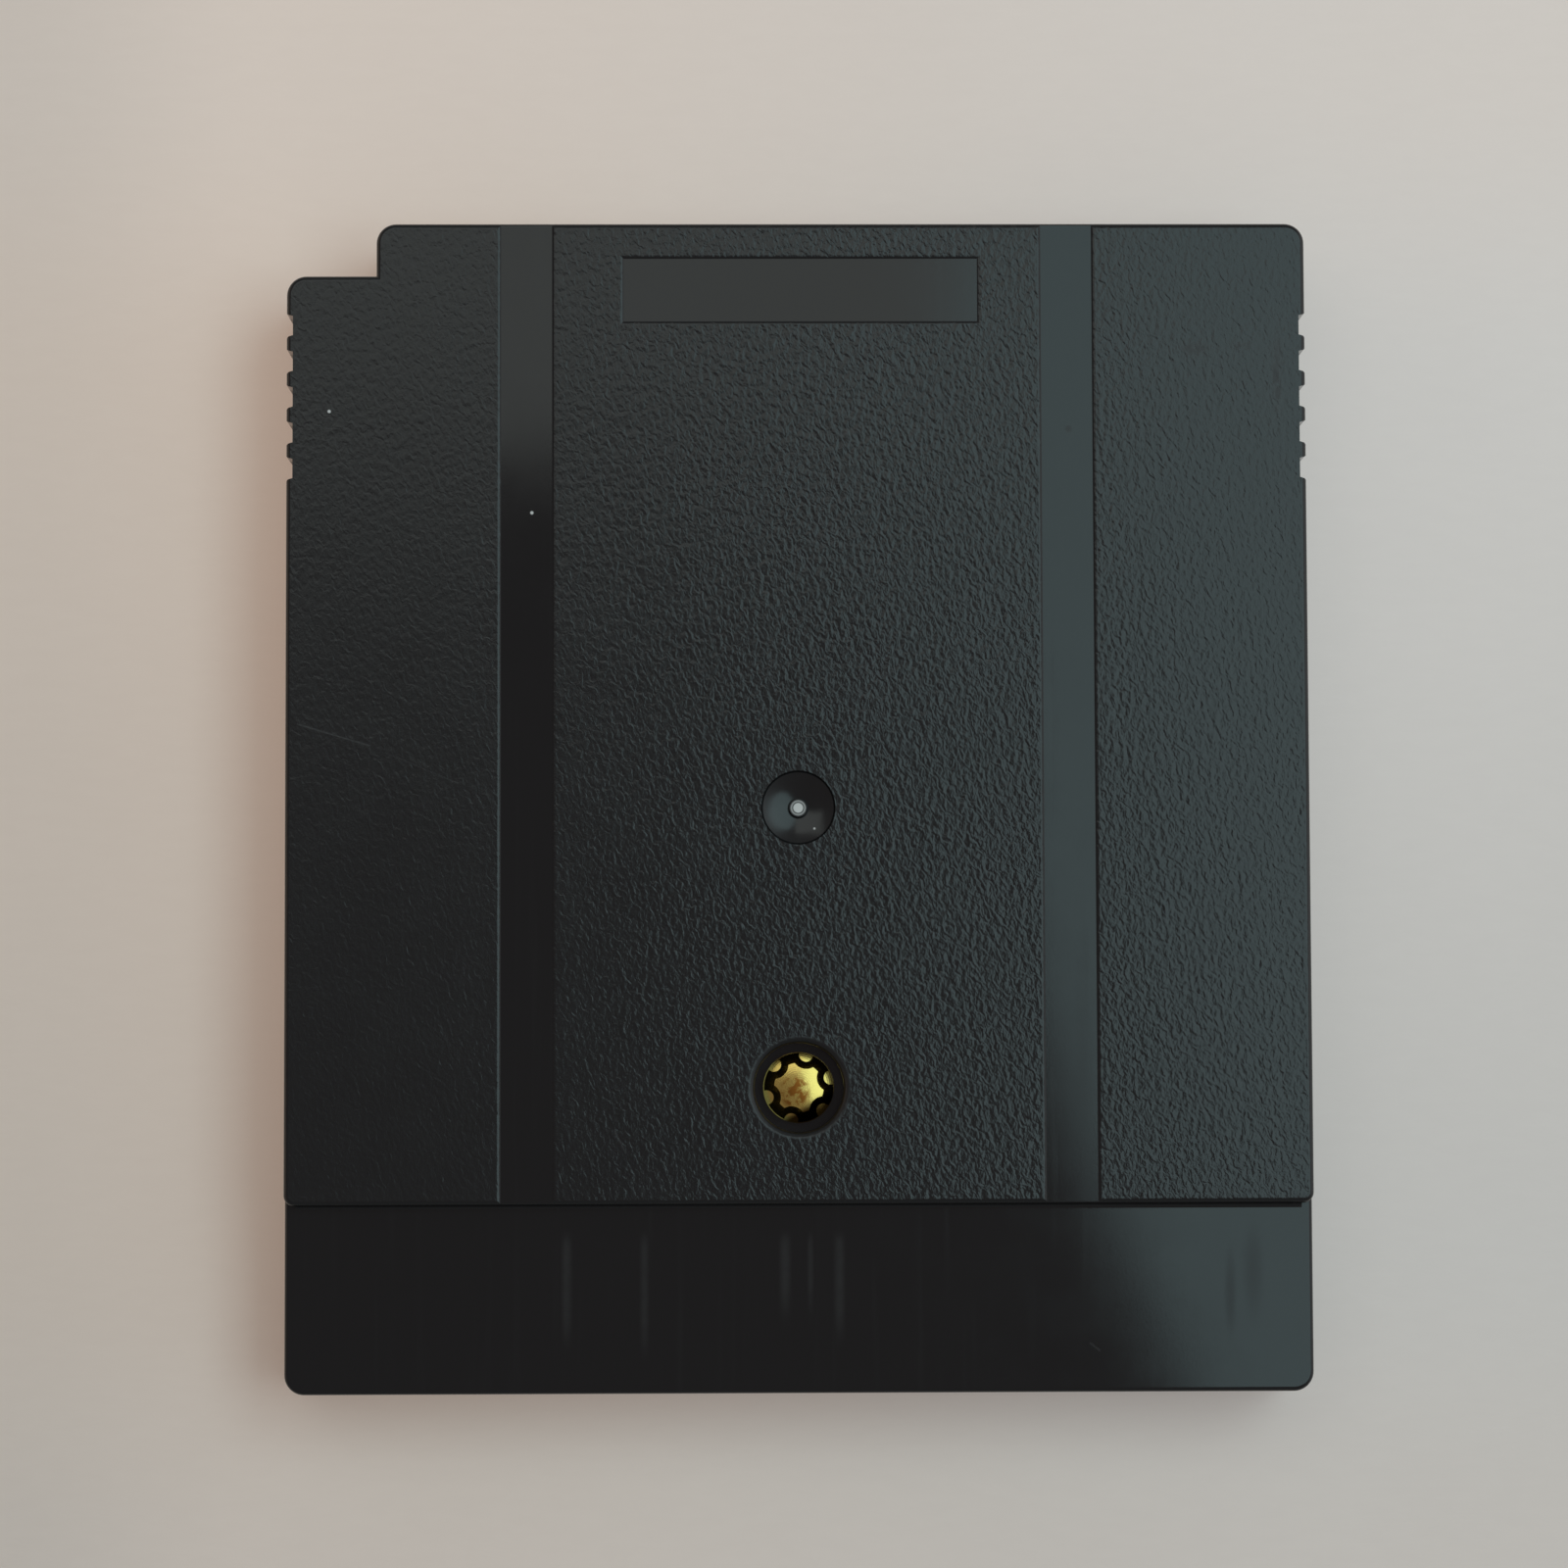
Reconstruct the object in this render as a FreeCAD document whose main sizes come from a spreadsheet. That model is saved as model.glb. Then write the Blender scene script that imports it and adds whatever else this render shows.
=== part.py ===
import FreeCAD, Part
import os
import Sketcher

# A hand-held console cartridge, lying on its front face with the rear face up.
# X runs across the cartridge, Y from the connector end to the grip end, Z up.
# The origin is the middle of the underside of its box, and sizes are millimetres.

SIZES = {
    # Edge contacts, which set the width of the board and so of the housing
    "contact_count": 32,
    "contact_pitch": 1.5,
    "contact_width": 1.0,
    "contact_length": 7.0,
    "contact_thickness": 0.05,
    "contact_setback": 0.3,
    "contact_margin": 0.7,
    # Circuit board
    "board_shoulder": 1.5,
    "board_gap": 0.7,
    "board_length": 47.0,
    "board_thickness": 1.0,
    "tongue_recess": 0.8,
    "shoulder_gap": 0.2,
    # Housing
    "shell_length": 65.2,
    "side_wall": 1.6,
    "end_wall": 1.6,
    "front_wall": 1.5,
    "rear_wall": 1.4,
    "band_wall": 1.3,
    "component_room": 3.1,
    "rear_room": 0.8,
    "seam_drop": 0.6,
    "seam_chamfer": 0.12,
    "slot_gap": 0.5,
    "corner_radius": 1.1,
    "rear_rounding": 0.3,
    "front_bevel": 0.4,
    "notch_width": 5.0,
    "notch_height": 2.95,
    "overrun": 0.5,
    # Grip teeth
    "grip_count": 5,
    "grip_pitch": 2.01,
    "grip_from_top": 5.76,
    "grip_depth": 0.36,
    "grip_lip": 0.1,
    "grip_mouth": 1.4,
    "grip_neck": 1.22,
    "grip_floor": 1.08,
    "grip_reach": 8.0,
    # Rear face
    "band_length": 10.42,
    "band_corner": 0.6,
    "band_rounding": 0.25,
    "band_foot": 0.27,
    "channel_offset": 15.1,
    "channel_width": 3.24,
    "plate_width": 20.18,
    "plate_height": 3.92,
    "plate_from_top": 3.77,
    "plate_offset": 0.22,
    "smooth_depth": 0.05,
    "smooth_rounding": 0.4,
    "gate_below_middle": 0.2,
    "dish_diameter": 4.14,
    "dish_depth": 0.6,
    "dish_wall": 0.15,
    "dish_lip": 0.1,
    "pip_diameter": 1.0,
    "pip_height": 0.26,
    # Screw, its well and the two bosses it joins
    "screw_from_edge": 16.87,
    "well_diameter": 4.95,
    "well_depth": 2.6,
    "well_rounding": 0.35,
    "boss_wall": 1.4,
    "post_wall": 1.6,
    "shank_diameter": 2.2,
    "shank_length": 3.2,
    "shank_clearance": 0.3,
    "bore_clearance": 0.1,
    "bore_spare": 0.25,
    "flange_diameter": 3.96,
    "flange_height": 0.35,
    "head_diameter": 3.86,
    "head_height": 0.95,
    "head_chamfer": 0.55,
    "tip_chamfer": 0.38,
    "bite_radius": 0.4,
    "bite_bevel": 0.4,
    "bite_circle": 1.88,
    "bite_turn": 17.0,
    "bite_count": 6,
    # Board rests, pegs and hooks inside the housing
    "rib_thickness": 1.2,
    "rib_offset": 19.5,
    "rib_length": 30.0,
    "rest_thickness": 1.0,
    "rest_inset": 0.3,
    "rest_length": 6.0,
    "rest_spacing": 22.0,
    "peg_diameter": 1.9,
    "peg_clearance": 0.2,
    "peg_inset": 2.7,
    "peg_above_band": 1.6,
    "hook_offset": 12.0,
    "hook_width": 6.0,
    "hook_thickness": 1.1,
    "hook_drop": 1.9,
    "hook_nib": 0.5,
    "hook_nib_height": 0.8,
    "hook_gap": 0.1,
    # Front face
    "pill_length": 39.0,
    "pill_height": 9.0,
    "pill_depth": 0.45,
    "label_width": 42.5,
    "label_from_top": 17.6,
    "label_from_bottom": 9.6,
    "label_corner": 2.0,
    "label_depth": 0.3,
    "arrow_width": 6.0,
    "arrow_height": 3.2,
    "arrow_from_bottom": 3.0,
    "arrow_depth": 0.3,
    # Chips, all with gull-wing leads along their long sides
    "row_margin": 1.4,
    "side_margin": 2.4,
    "row_gap": 1.6,
    "chip_standoff": 0.1,
    "chip_draft": 7.0,
    "mark_diameter": 1.1,
    "mark_depth": 0.12,
    "mark_inset": 1.5,
    "lead_pitch": 1.27,
    "lead_width": 0.42,
    "lead_thickness": 0.15,
    "lead_shoulder": 0.4,
    "lead_foot": 0.65,
    "rom_length": 20.4,
    "rom_width": 11.3,
    "rom_height": 2.5,
    "rom_span": 14.1,
    "rom_lead_count": 16,
    "ram_length": 18.0,
    "ram_width": 8.4,
    "ram_height": 2.4,
    "ram_span": 11.8,
    "ram_lead_count": 14,
    "mapper_length": 15.4,
    "mapper_width": 7.5,
    "mapper_height": 2.3,
    "mapper_span": 10.3,
    "mapper_lead_count": 12,
    "reset_length": 5.0,
    "reset_width": 3.9,
    "reset_height": 1.5,
    "reset_span": 6.0,
    "reset_lead_count": 4,
    "reset_gap": 1.0,
    # Coin cell and its tabs
    "cell_diameter": 16.0,
    "cell_height": 1.6,
    "cell_rim": 1.1,
    "cell_step": 0.25,
    "cell_bevel": 0.2,
    "tab_thickness": 0.2,
    "tab_width": 3.2,
    "tab_reach": 2.2,
    "tab_overlap": 5.0,
    "tab_gap": 0.35,
    # Chip capacitors and resistors
    "passive_length": 2.0,
    "passive_width": 1.25,
    "passive_end": 0.4,
    "capacitor_height": 0.9,
    "resistor_height": 0.55,
    "passive_gap": 1.3,
    "passive_row": 2.6,
    "passive_first": 8.0,
    "passive_step": 4.0,
}

# Places and sizes worked out from the ones above
BOARD_TONGUE = "(sizes.contact_count * sizes.contact_pitch / 2 + sizes.contact_margin)"
BOARD_SIDE = f"({BOARD_TONGUE} + sizes.board_shoulder)"
CAVITY_SIDE = f"({BOARD_SIDE} + sizes.board_gap)"
SHELL_SIDE = f"({CAVITY_SIDE} + sizes.side_wall)"
SHELL_END = "(sizes.shell_length / 2)"
CAVITY_END = f"({SHELL_END} - sizes.end_wall)"
SLOT_SIDE = f"({BOARD_TONGUE} + sizes.slot_gap)"
BOARD_FRONT = "(sizes.front_wall + sizes.component_room)"
BOARD_REAR = f"({BOARD_FRONT} + sizes.board_thickness)"
REAR_INSIDE = f"({BOARD_REAR} + sizes.rear_room)"
SHELL_TOP = f"({REAR_INSIDE} + sizes.rear_wall)"
BAND_TOP = f"({BOARD_REAR} + sizes.band_wall)"
SEAM = f"({BOARD_FRONT} - sizes.seam_drop)"
BAND_LINE = f"(sizes.band_length - {SHELL_END})"
NOTCH_SIDE = f"(sizes.notch_width - {SHELL_SIDE})"
NOTCH_END = f"({SHELL_END} - sizes.notch_height)"
GRIP_FIRST = f"({SHELL_END} - sizes.grip_from_top)"
GRIP_SPREAD = "((sizes.grip_count - 1) * sizes.grip_pitch)"
GRIP_MIDDLE = f"({GRIP_FIRST} - {GRIP_SPREAD} / 2)"
PLATE_LINE = f"({SHELL_END} - sizes.plate_from_top)"
SMOOTH_TURN = "acos(1 - sizes.smooth_depth / sizes.smooth_rounding)"
SMOOTH_TOP = f"({SHELL_TOP} - sizes.smooth_depth)"
SCREW_LINE = f"(sizes.screw_from_edge - {SHELL_END})"
WELL_FLOOR = f"({SHELL_TOP} - sizes.well_depth)"
BOSS_RADIUS = "(sizes.well_diameter / 2 + sizes.boss_wall)"
POST_RADIUS = "(sizes.shank_diameter / 2 + sizes.post_wall)"
SCREW_TIP = f"({WELL_FLOOR} - sizes.shank_length)"
BOARD_LOW = f"(sizes.tongue_recess - {SHELL_END})"
BOARD_SHOULDER = f"(sizes.shoulder_gap - {CAVITY_END})"
BOARD_HIGH = f"({BOARD_LOW} + sizes.board_length)"
PEG_SIDE = f"({BOARD_SIDE} - sizes.peg_inset)"
PEG_LINE = f"({BAND_LINE} + sizes.peg_above_band)"
ROM_X = f"({BOARD_SIDE} - sizes.side_margin - sizes.rom_length / 2)"
ROM_Y = f"({BOARD_HIGH} - sizes.row_margin - sizes.rom_span / 2)"
RAM_X = f"(sizes.side_margin + sizes.ram_length / 2 - {BOARD_SIDE})"
RAM_Y = f"({BOARD_HIGH} - sizes.row_margin - sizes.ram_span / 2)"
MAPPER_X = f"({BOARD_SIDE} - sizes.side_margin - sizes.rom_length + sizes.mapper_length / 2 + sizes.row_gap)"
MAPPER_Y = f"({ROM_Y} - sizes.rom_span / 2 - sizes.row_gap - sizes.mapper_span / 2)"
RESET_Y = f"({SCREW_LINE} + {BOSS_RADIUS} + sizes.peg_clearance + sizes.reset_gap + sizes.reset_span / 2)"
CELL_X = f"(sizes.side_margin + sizes.cell_diameter / 2 - {BOARD_SIDE})"
CELL_Y = f"({RAM_Y} - sizes.ram_span / 2 - sizes.row_gap - sizes.cell_diameter / 2)"
CELL_REAR = f"({BOARD_FRONT} - sizes.tab_thickness)"
PASSIVE_ROW = f"({BOARD_LOW} + sizes.contact_setback + sizes.contact_length + sizes.passive_row)"
CAPACITOR_PLACES = {
    "rom_capacitor": (
        f"({ROM_X} - sizes.rom_length / 2 - sizes.passive_gap - sizes.passive_width / 2)",
        ROM_Y,
    ),
    "ram_capacitor": (
        f"({RAM_X} + sizes.ram_length / 2 + sizes.passive_gap + sizes.passive_width / 2)",
        RAM_Y,
    ),
    "supply_capacitor": ("sizes.passive_first", PASSIVE_ROW),
}
RESISTOR_PLACES = {
    "battery_resistor": ("(sizes.passive_first + sizes.passive_step)", PASSIVE_ROW),
    "select_resistor": ("(sizes.passive_first + 2 * sizes.passive_step)", PASSIVE_ROW),
}
# Flat facets that make up the round rim of the plate
PLATE_STEPS = 3

doc = FreeCAD.newDocument("game_cartridge")
sheet = doc.addObject("Spreadsheet::Sheet", "sizes")
for row, (alias, number) in enumerate(SIZES.items(), 1):
    sheet.set(f"A{row}", alias)
    sheet.set(f"B{row}", str(number))
    sheet.setAlias(f"B{row}", alias)
doc.recompute()


def value(expression):
    """The number that an expression on the sheet comes to."""
    return float(sheet.evalExpression(expression))


def new_body(label, x="0", y="0", z="0"):
    """A PartDesign body with the label that names its file, placed by three expressions."""
    body = doc.addObject("PartDesign::Body", label)
    body.Label = label
    for axis, expression in zip("xyz", (x, y, z)):
        body.setExpression(f"Placement.Base.{axis}", expression)
    return body


def plane(body, role):
    """One of the body's own origin planes or axes."""
    return next(item for item in body.Origin.OriginFeatures if item.Role == role)


def sketch_on(body, name, role, offset="0"):
    """A sketch on an origin plane, moved along the plane's normal."""
    sketch = body.newObject("Sketcher::SketchObject", name)
    sketch.AttachmentSupport = (plane(body, role), [""])
    sketch.MapMode = "FlatFace"
    sketch.setExpression("AttachmentOffset.Base.z", offset)
    return sketch


def bind(sketch, constraint, expression):
    """Adds a constraint to a sketch and ties its value to the sheet."""
    index = sketch.addConstraint(constraint)
    sketch.setExpression(f"Constraints[{index}]", expression)


def pin(sketch, geometry, point, x, y):
    """Ties one point of a sketch to a place given by two expressions."""
    for kind, expression in (("DistanceX", x), ("DistanceY", y)):
        number = value(expression)
        if number < 0:
            bind(sketch, Sketcher.Constraint(kind, geometry, point, -1, 1, -number), f"-({expression})")
        else:
            bind(sketch, Sketcher.Constraint(kind, -1, 1, geometry, point, number), expression)


def polygon(sketch, corners):
    """A closed run of straight lines through corners given as expressions."""
    places = [FreeCAD.Vector(value(x), value(y), 0) for x, y in corners]
    first = len(sketch.Geometry)
    count = len(places)
    for index in range(count):
        sketch.addGeometry(Part.LineSegment(places[index], places[(index + 1) % count]))
    for index in range(count):
        following = first + (index + 1) % count
        sketch.addConstraint(Sketcher.Constraint("Coincident", first + index, 2, following, 1))
        pin(sketch, first + index, 1, *corners[index])


def rectangle(sketch, left, low, right, high):
    """An upright rectangle between two corners given as expressions."""
    places = [
        FreeCAD.Vector(value(left), value(low), 0),
        FreeCAD.Vector(value(right), value(low), 0),
        FreeCAD.Vector(value(right), value(high), 0),
        FreeCAD.Vector(value(left), value(high), 0),
    ]
    first = len(sketch.Geometry)
    for index in range(4):
        sketch.addGeometry(Part.LineSegment(places[index], places[(index + 1) % 4]))
    for index in range(4):
        following = first + (index + 1) % 4
        sketch.addConstraint(Sketcher.Constraint("Coincident", first + index, 2, following, 1))
        direction = "Horizontal" if index % 2 == 0 else "Vertical"
        sketch.addConstraint(Sketcher.Constraint(direction, first + index))
    pin(sketch, first, 1, left, low)
    pin(sketch, first + 2, 1, right, high)


def centred(sketch, x, y, width, height):
    """A rectangle given by its middle and its two sizes."""
    rectangle(
        sketch,
        f"{x} - {width} / 2",
        f"{y} - {height} / 2",
        f"{x} + {width} / 2",
        f"{y} + {height} / 2",
    )


def circle(sketch, x, y, radius):
    """A circle given by its middle and its radius."""
    middle = FreeCAD.Vector(value(x), value(y), 0)
    index = sketch.addGeometry(Part.Circle(middle, FreeCAD.Vector(0, 0, 1), value(radius)))
    pin(sketch, index, 3, x, y)
    bind(sketch, Sketcher.Constraint("Radius", index, value(radius)), radius)


def short_arc(start, end, middle):
    """The shorter arc around a middle from one point to another."""
    bulge = ((start + end) * 0.5 - middle).normalize() * (start - middle).Length
    return Part.Arc(start, middle + bulge, end)


def add(body, name, sketch, length, backwards=False, taper=None):
    """Pads a sketch, along its normal or against it."""
    feature = body.newObject("PartDesign::Pad", name)
    feature.Profile = sketch
    feature.setExpression("Length", length)
    feature.Reversed = backwards
    if taper:
        feature.setExpression("TaperAngle", taper)
    doc.recompute()
    return feature


def must_cut(body, feature):
    """Recomputes a new cut and stops the build when it takes no material away."""
    before = feature.BaseFeature.Shape.Volume
    doc.recompute()
    if body.Shape.Volume >= before - 1e-6:
        raise RuntimeError(f"{body.Label}: {feature.Name} cuts nothing")


def cut(body, name, sketch, depth, along=False):
    """Pockets a sketch against its normal, or along it."""
    feature = body.newObject("PartDesign::Pocket", name)
    feature.Profile = sketch
    feature.setExpression("Length", depth)
    feature.Reversed = along
    must_cut(body, feature)
    return feature


def repeat(body, name, feature, direction, spread, count, backwards=False):
    """Repeats a feature in a straight line."""
    pattern = body.newObject("PartDesign::LinearPattern", name)
    pattern.Originals = [feature]
    pattern.Direction = (plane(body, direction), [""])
    pattern.Reversed = backwards
    pattern.setExpression("Length", spread)
    body.Tip = pattern
    pattern.setExpression("Occurrences", count)
    doc.recompute()
    return pattern


def mirror(body, name, features, role):
    """Mirrors features across an origin plane of the body."""
    mirrored = body.newObject("PartDesign::Mirrored", name)
    mirrored.Originals = features
    mirrored.MirrorPlane = (plane(body, role), [""])
    body.Tip = mirrored
    doc.recompute()
    return mirrored


def edges_where(shape, wanted):
    """Names of the edges of a shape for which a test of edge and middle point holds."""
    names = []
    for index, edge in enumerate(shape.Edges, 1):
        first, last = edge.ParameterRange
        if wanted(edge, edge.valueAt((first + last) / 2)):
            names.append(f"Edge{index}")
    return names


def soften(body, kind, name, size, wanted):
    """A fillet or chamfer on the chosen edges of the body as it stands."""
    base = body.Tip
    names = edges_where(base.Shape, wanted)
    if not names:
        raise RuntimeError(f"{body.Label}: {name} finds no edges")
    feature = body.newObject(f"PartDesign::{kind}", name)
    feature.Base = (base, names)
    feature.setExpression("Radius" if kind == "Fillet" else "Size", size)
    doc.recompute()
    return feature


def near(number, expression):
    """Whether a measured number is the one an expression gives."""
    return abs(number - value(expression)) < 1e-4


def upright(edge):
    """Whether an edge is a straight line along Z."""
    box = edge.BoundBox
    return box.XLength < 1e-4 and box.YLength < 1e-4 and box.ZLength > 1e-4


def level(edge, expression):
    """Whether an edge lies flat at a height."""
    box = edge.BoundBox
    return box.ZLength < 1e-4 and near(box.ZMin, expression)


def outer_block(body, low, high):
    """The outside of one half of the housing: a block with a cut-away corner and round corners."""
    sketch = sketch_on(body, f"{body.Label}_outline", "XY_Plane", low)
    polygon(
        sketch,
        [
            (f"-{SHELL_SIDE}", f"-{SHELL_END}"),
            (SHELL_SIDE, f"-{SHELL_END}"),
            (SHELL_SIDE, SHELL_END),
            (NOTCH_SIDE, SHELL_END),
            (NOTCH_SIDE, NOTCH_END),
            (f"-{SHELL_SIDE}", NOTCH_END),
        ],
    )
    add(body, f"{body.Label}_block", sketch, f"{high} - {low}")

    def outer_corner(edge, middle):
        inner = near(middle.x, NOTCH_SIDE) and near(middle.y, NOTCH_END)
        return upright(edge) and not inner

    soften(body, "Fillet", f"{body.Label}_corners", "sizes.corner_radius", outer_corner)


def side_grips(body, low, high):
    """Grip grooves down both sides of one half of the housing."""
    sketch = sketch_on(body, f"{body.Label}_grip_profile", "XY_Plane", low)
    for sign in ("-", "+"):
        steps = [
            (f"{sign}({SHELL_SIDE} + sizes.grip_lip)", "sizes.grip_mouth / 2"),
            (f"{sign}{SHELL_SIDE}", "sizes.grip_mouth / 2"),
            (f"{sign}({SHELL_SIDE} - sizes.grip_lip)", "sizes.grip_neck / 2"),
            (f"{sign}({SHELL_SIDE} - sizes.grip_depth)", "sizes.grip_floor / 2"),
        ]
        below = [(x, f"{GRIP_FIRST} - {reach}") for x, reach in steps]
        above = [(x, f"{GRIP_FIRST} + {reach}") for x, reach in reversed(steps)]
        polygon(sketch, below + above)
    grooves = cut(body, f"{body.Label}_grip", sketch, f"{high} - {low}", along=True)
    repeat(body, f"{body.Label}_grips", grooves, "Y_Axis", GRIP_SPREAD, "sizes.grip_count", True)


def cavity_corners(low):
    """Corners of the hollow inside the housing, which keeps its wall around the cut-away corner."""
    return [
        (f"-{CAVITY_SIDE}", low),
        (CAVITY_SIDE, low),
        (CAVITY_SIDE, CAVITY_END),
        (f"{NOTCH_SIDE} + sizes.side_wall", CAVITY_END),
        (f"{NOTCH_SIDE} + sizes.side_wall", f"{NOTCH_END} - sizes.end_wall"),
        (f"-{CAVITY_SIDE}", f"{NOTCH_END} - sizes.end_wall"),
    ]


def slot_area(sketch):
    """Outline of the connector slot through the end wall."""
    low = f"-{SHELL_END} - sizes.overrun"
    rectangle(sketch, f"-{SLOT_SIDE}", low, SLOT_SIDE, f"-{CAVITY_END} + sizes.overrun")


def build_rear_shell():
    """Rear half: panel, lower band, channels, plate recess, gate dish, screw well and boss."""
    body = new_body("rear_shell")
    outer_block(body, SEAM, SHELL_TOP)
    rear_band(body)
    side_grips(body, SEAM, SHELL_TOP)
    rear_hollow(body)
    rear_supports(body)
    rear_hooks(body)
    smooth_areas(body)
    screw_well(body)
    moulding_gate(body)
    return body


def rear_band(body):
    """Lower band along the connector end, with the softened edges of both levels and of the seam."""
    sketch = sketch_on(body, "band_area", "XY_Plane", SHELL_TOP)
    side = f"({SHELL_SIDE} + sizes.overrun)"
    rectangle(sketch, f"-{side}", f"-{SHELL_END} - sizes.overrun", side, BAND_LINE)
    cut(body, "band", sketch, f"{SHELL_TOP} - {BAND_TOP}")

    def band_end(edge, middle):
        return upright(edge) and near(middle.y, BAND_LINE)

    soften(body, "Fillet", "band_corners", "sizes.band_corner", band_end)

    def panel_rim(edge, middle):
        return level(edge, SHELL_TOP)

    soften(body, "Fillet", "panel_rounding", "sizes.rear_rounding", panel_rim)

    def band_rim(edge, middle):
        return level(edge, BAND_TOP) and middle.y < value(BAND_LINE) - 1e-3

    soften(body, "Fillet", "band_rounding", "sizes.band_rounding", band_rim)

    def seam_rim(edge, middle):
        return level(edge, SEAM)

    soften(body, "Chamfer", "rear_seam", "sizes.seam_chamfer", seam_rim)
    end = f"({SHELL_SIDE} - sizes.band_corner)"
    sketch = sketch_on(body, "band_foot_profile", "YZ_Plane", f"-{end}")
    foot_section(sketch)
    add(body, "band_foot", sketch, f"2 * {end}")


def foot_section(sketch):
    """Section of the hollow curve where the end of the panel comes down to the band."""
    front = f"({BAND_LINE} - sizes.band_foot)"
    back = f"({BAND_LINE} + sizes.overrun)"
    high = f"({BAND_TOP} + sizes.band_foot)"
    low = f"({BAND_TOP} - sizes.overrun)"
    corners = [(BAND_LINE, high), (back, high), (back, low), (front, low), (front, BAND_TOP)]
    places = [FreeCAD.Vector(value(y), value(z), 0) for y, z in corners]
    middle = FreeCAD.Vector(value(front), value(high), 0)
    lines = [sketch.addGeometry(Part.LineSegment(*ends)) for ends in zip(places, places[1:])]
    arc = sketch.addGeometry(short_arc(places[-1], places[0], middle))
    for line, following in zip(lines, lines[1:] + [arc]):
        sketch.addConstraint(Sketcher.Constraint("Coincident", line, 2, following, 1))
    sketch.addConstraint(Sketcher.Constraint("Coincident", arc, 2, lines[0], 1))
    for line, corner in zip(lines, corners):
        pin(sketch, line, 1, *corner)
    pin(sketch, lines[-1], 2, *corners[-1])
    bind(sketch, Sketcher.Constraint("Radius", arc, value("sizes.band_foot")), "sizes.band_foot")


def rear_hollow(body):
    """Hollow of the rear half: shallow under the band, deeper under the panel, open at the slot."""
    sketch = sketch_on(body, "rear_hollow_area", "XY_Plane", SEAM)
    polygon(sketch, cavity_corners(f"-{CAVITY_END}"))
    cut(body, "rear_hollow", sketch, f"{BOARD_REAR} - {SEAM}", along=True)
    sketch = sketch_on(body, "panel_hollow_area", "XY_Plane", SEAM)
    polygon(sketch, cavity_corners(f"{BAND_LINE} + sizes.rear_room"))
    cut(body, "panel_hollow", sketch, f"{REAR_INSIDE} - {SEAM}", along=True)
    sketch = sketch_on(body, "rear_slot_area", "XY_Plane", SEAM)
    slot_area(sketch)
    cut(body, "rear_slot", sketch, f"{BOARD_REAR} - {SEAM}", along=True)


def rear_supports(body):
    """Ribs behind the board, pegs through it, and the boss around the screw."""
    sketch = sketch_on(body, "rib_area", "XY_Plane", BOARD_REAR)
    for sign in ("-", "+"):
        centred(sketch, f"{sign}sizes.rib_offset", "0", "sizes.rib_thickness", "sizes.rib_length")
    add(body, "ribs", sketch, f"{REAR_INSIDE} - {BOARD_REAR}")
    sketch = sketch_on(body, "peg_area", "XY_Plane", REAR_INSIDE)
    for sign in ("-", "+"):
        circle(sketch, f"{sign}{PEG_SIDE}", PEG_LINE, "sizes.peg_diameter / 2")
    add(body, "pegs", sketch, f"{REAR_INSIDE} - {BOARD_FRONT}", backwards=True)
    sketch = sketch_on(body, "boss_area", "XY_Plane", REAR_INSIDE)
    circle(sketch, "0", SCREW_LINE, BOSS_RADIUS)
    add(body, "boss", sketch, f"{REAR_INSIDE} - {SEAM}", backwards=True)


def rear_hooks(body):
    """Hooks at the grip end, each with a nib that sits in the front half's wall."""
    sketch = sketch_on(body, "hook_profile", "YZ_Plane", "sizes.hook_offset - sizes.hook_width / 2")
    inner = f"{CAVITY_END} - sizes.hook_gap"
    low = f"{SEAM} - sizes.hook_drop"
    corners = [
        (CAVITY_END, REAR_INSIDE),
        (f"{inner} - sizes.hook_thickness", REAR_INSIDE),
        (f"{inner} - sizes.hook_thickness", low),
        (f"{CAVITY_END} + sizes.hook_nib", low),
        (f"{CAVITY_END} + sizes.hook_nib", f"{low} + sizes.hook_nib_height"),
        (inner, f"{low} + sizes.hook_nib_height"),
        (inner, SEAM),
        (CAVITY_END, SEAM),
    ]
    polygon(sketch, corners)
    hook = add(body, "hook", sketch, "sizes.hook_width")
    mirror(body, "hooks", [hook], "YZ_Plane")


def smooth_areas(body):
    """Channels and plate recess, which lie a little under the grained panel and have round rims."""
    sketch = sketch_on(body, "channel_profile", "XZ_Plane", f"-({SHELL_END} + sizes.overrun)")
    for sign in ("-", "+"):
        channel_section(sketch, f"{sign}sizes.channel_offset")
    cut(body, "channels", sketch, f"{SHELL_END} - {BAND_LINE} + 2 * sizes.overrun", along=True)
    sections = []
    for step in range(PLATE_STEPS + 1):
        turn = f"({SMOOTH_TURN} * {step} / {PLATE_STEPS})"
        inset = f"2 * sizes.smooth_rounding * sin({turn})"
        drop = f"sizes.smooth_rounding * (1 - cos({turn}))"
        sketch = sketch_on(body, f"plate_section_{step}", "XY_Plane", f"{SHELL_TOP} - {drop}")
        width = f"(sizes.plate_width - {inset})"
        height = f"(sizes.plate_height - {inset})"
        centred(sketch, "sizes.plate_offset", PLATE_LINE, width, height)
        sections.append(sketch)
    plate = body.newObject("PartDesign::SubtractiveLoft", "plate_recess")
    plate.Profile = sections[0]
    plate.Sections = sections[1:]
    plate.Ruled = True
    must_cut(body, plate)


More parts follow.
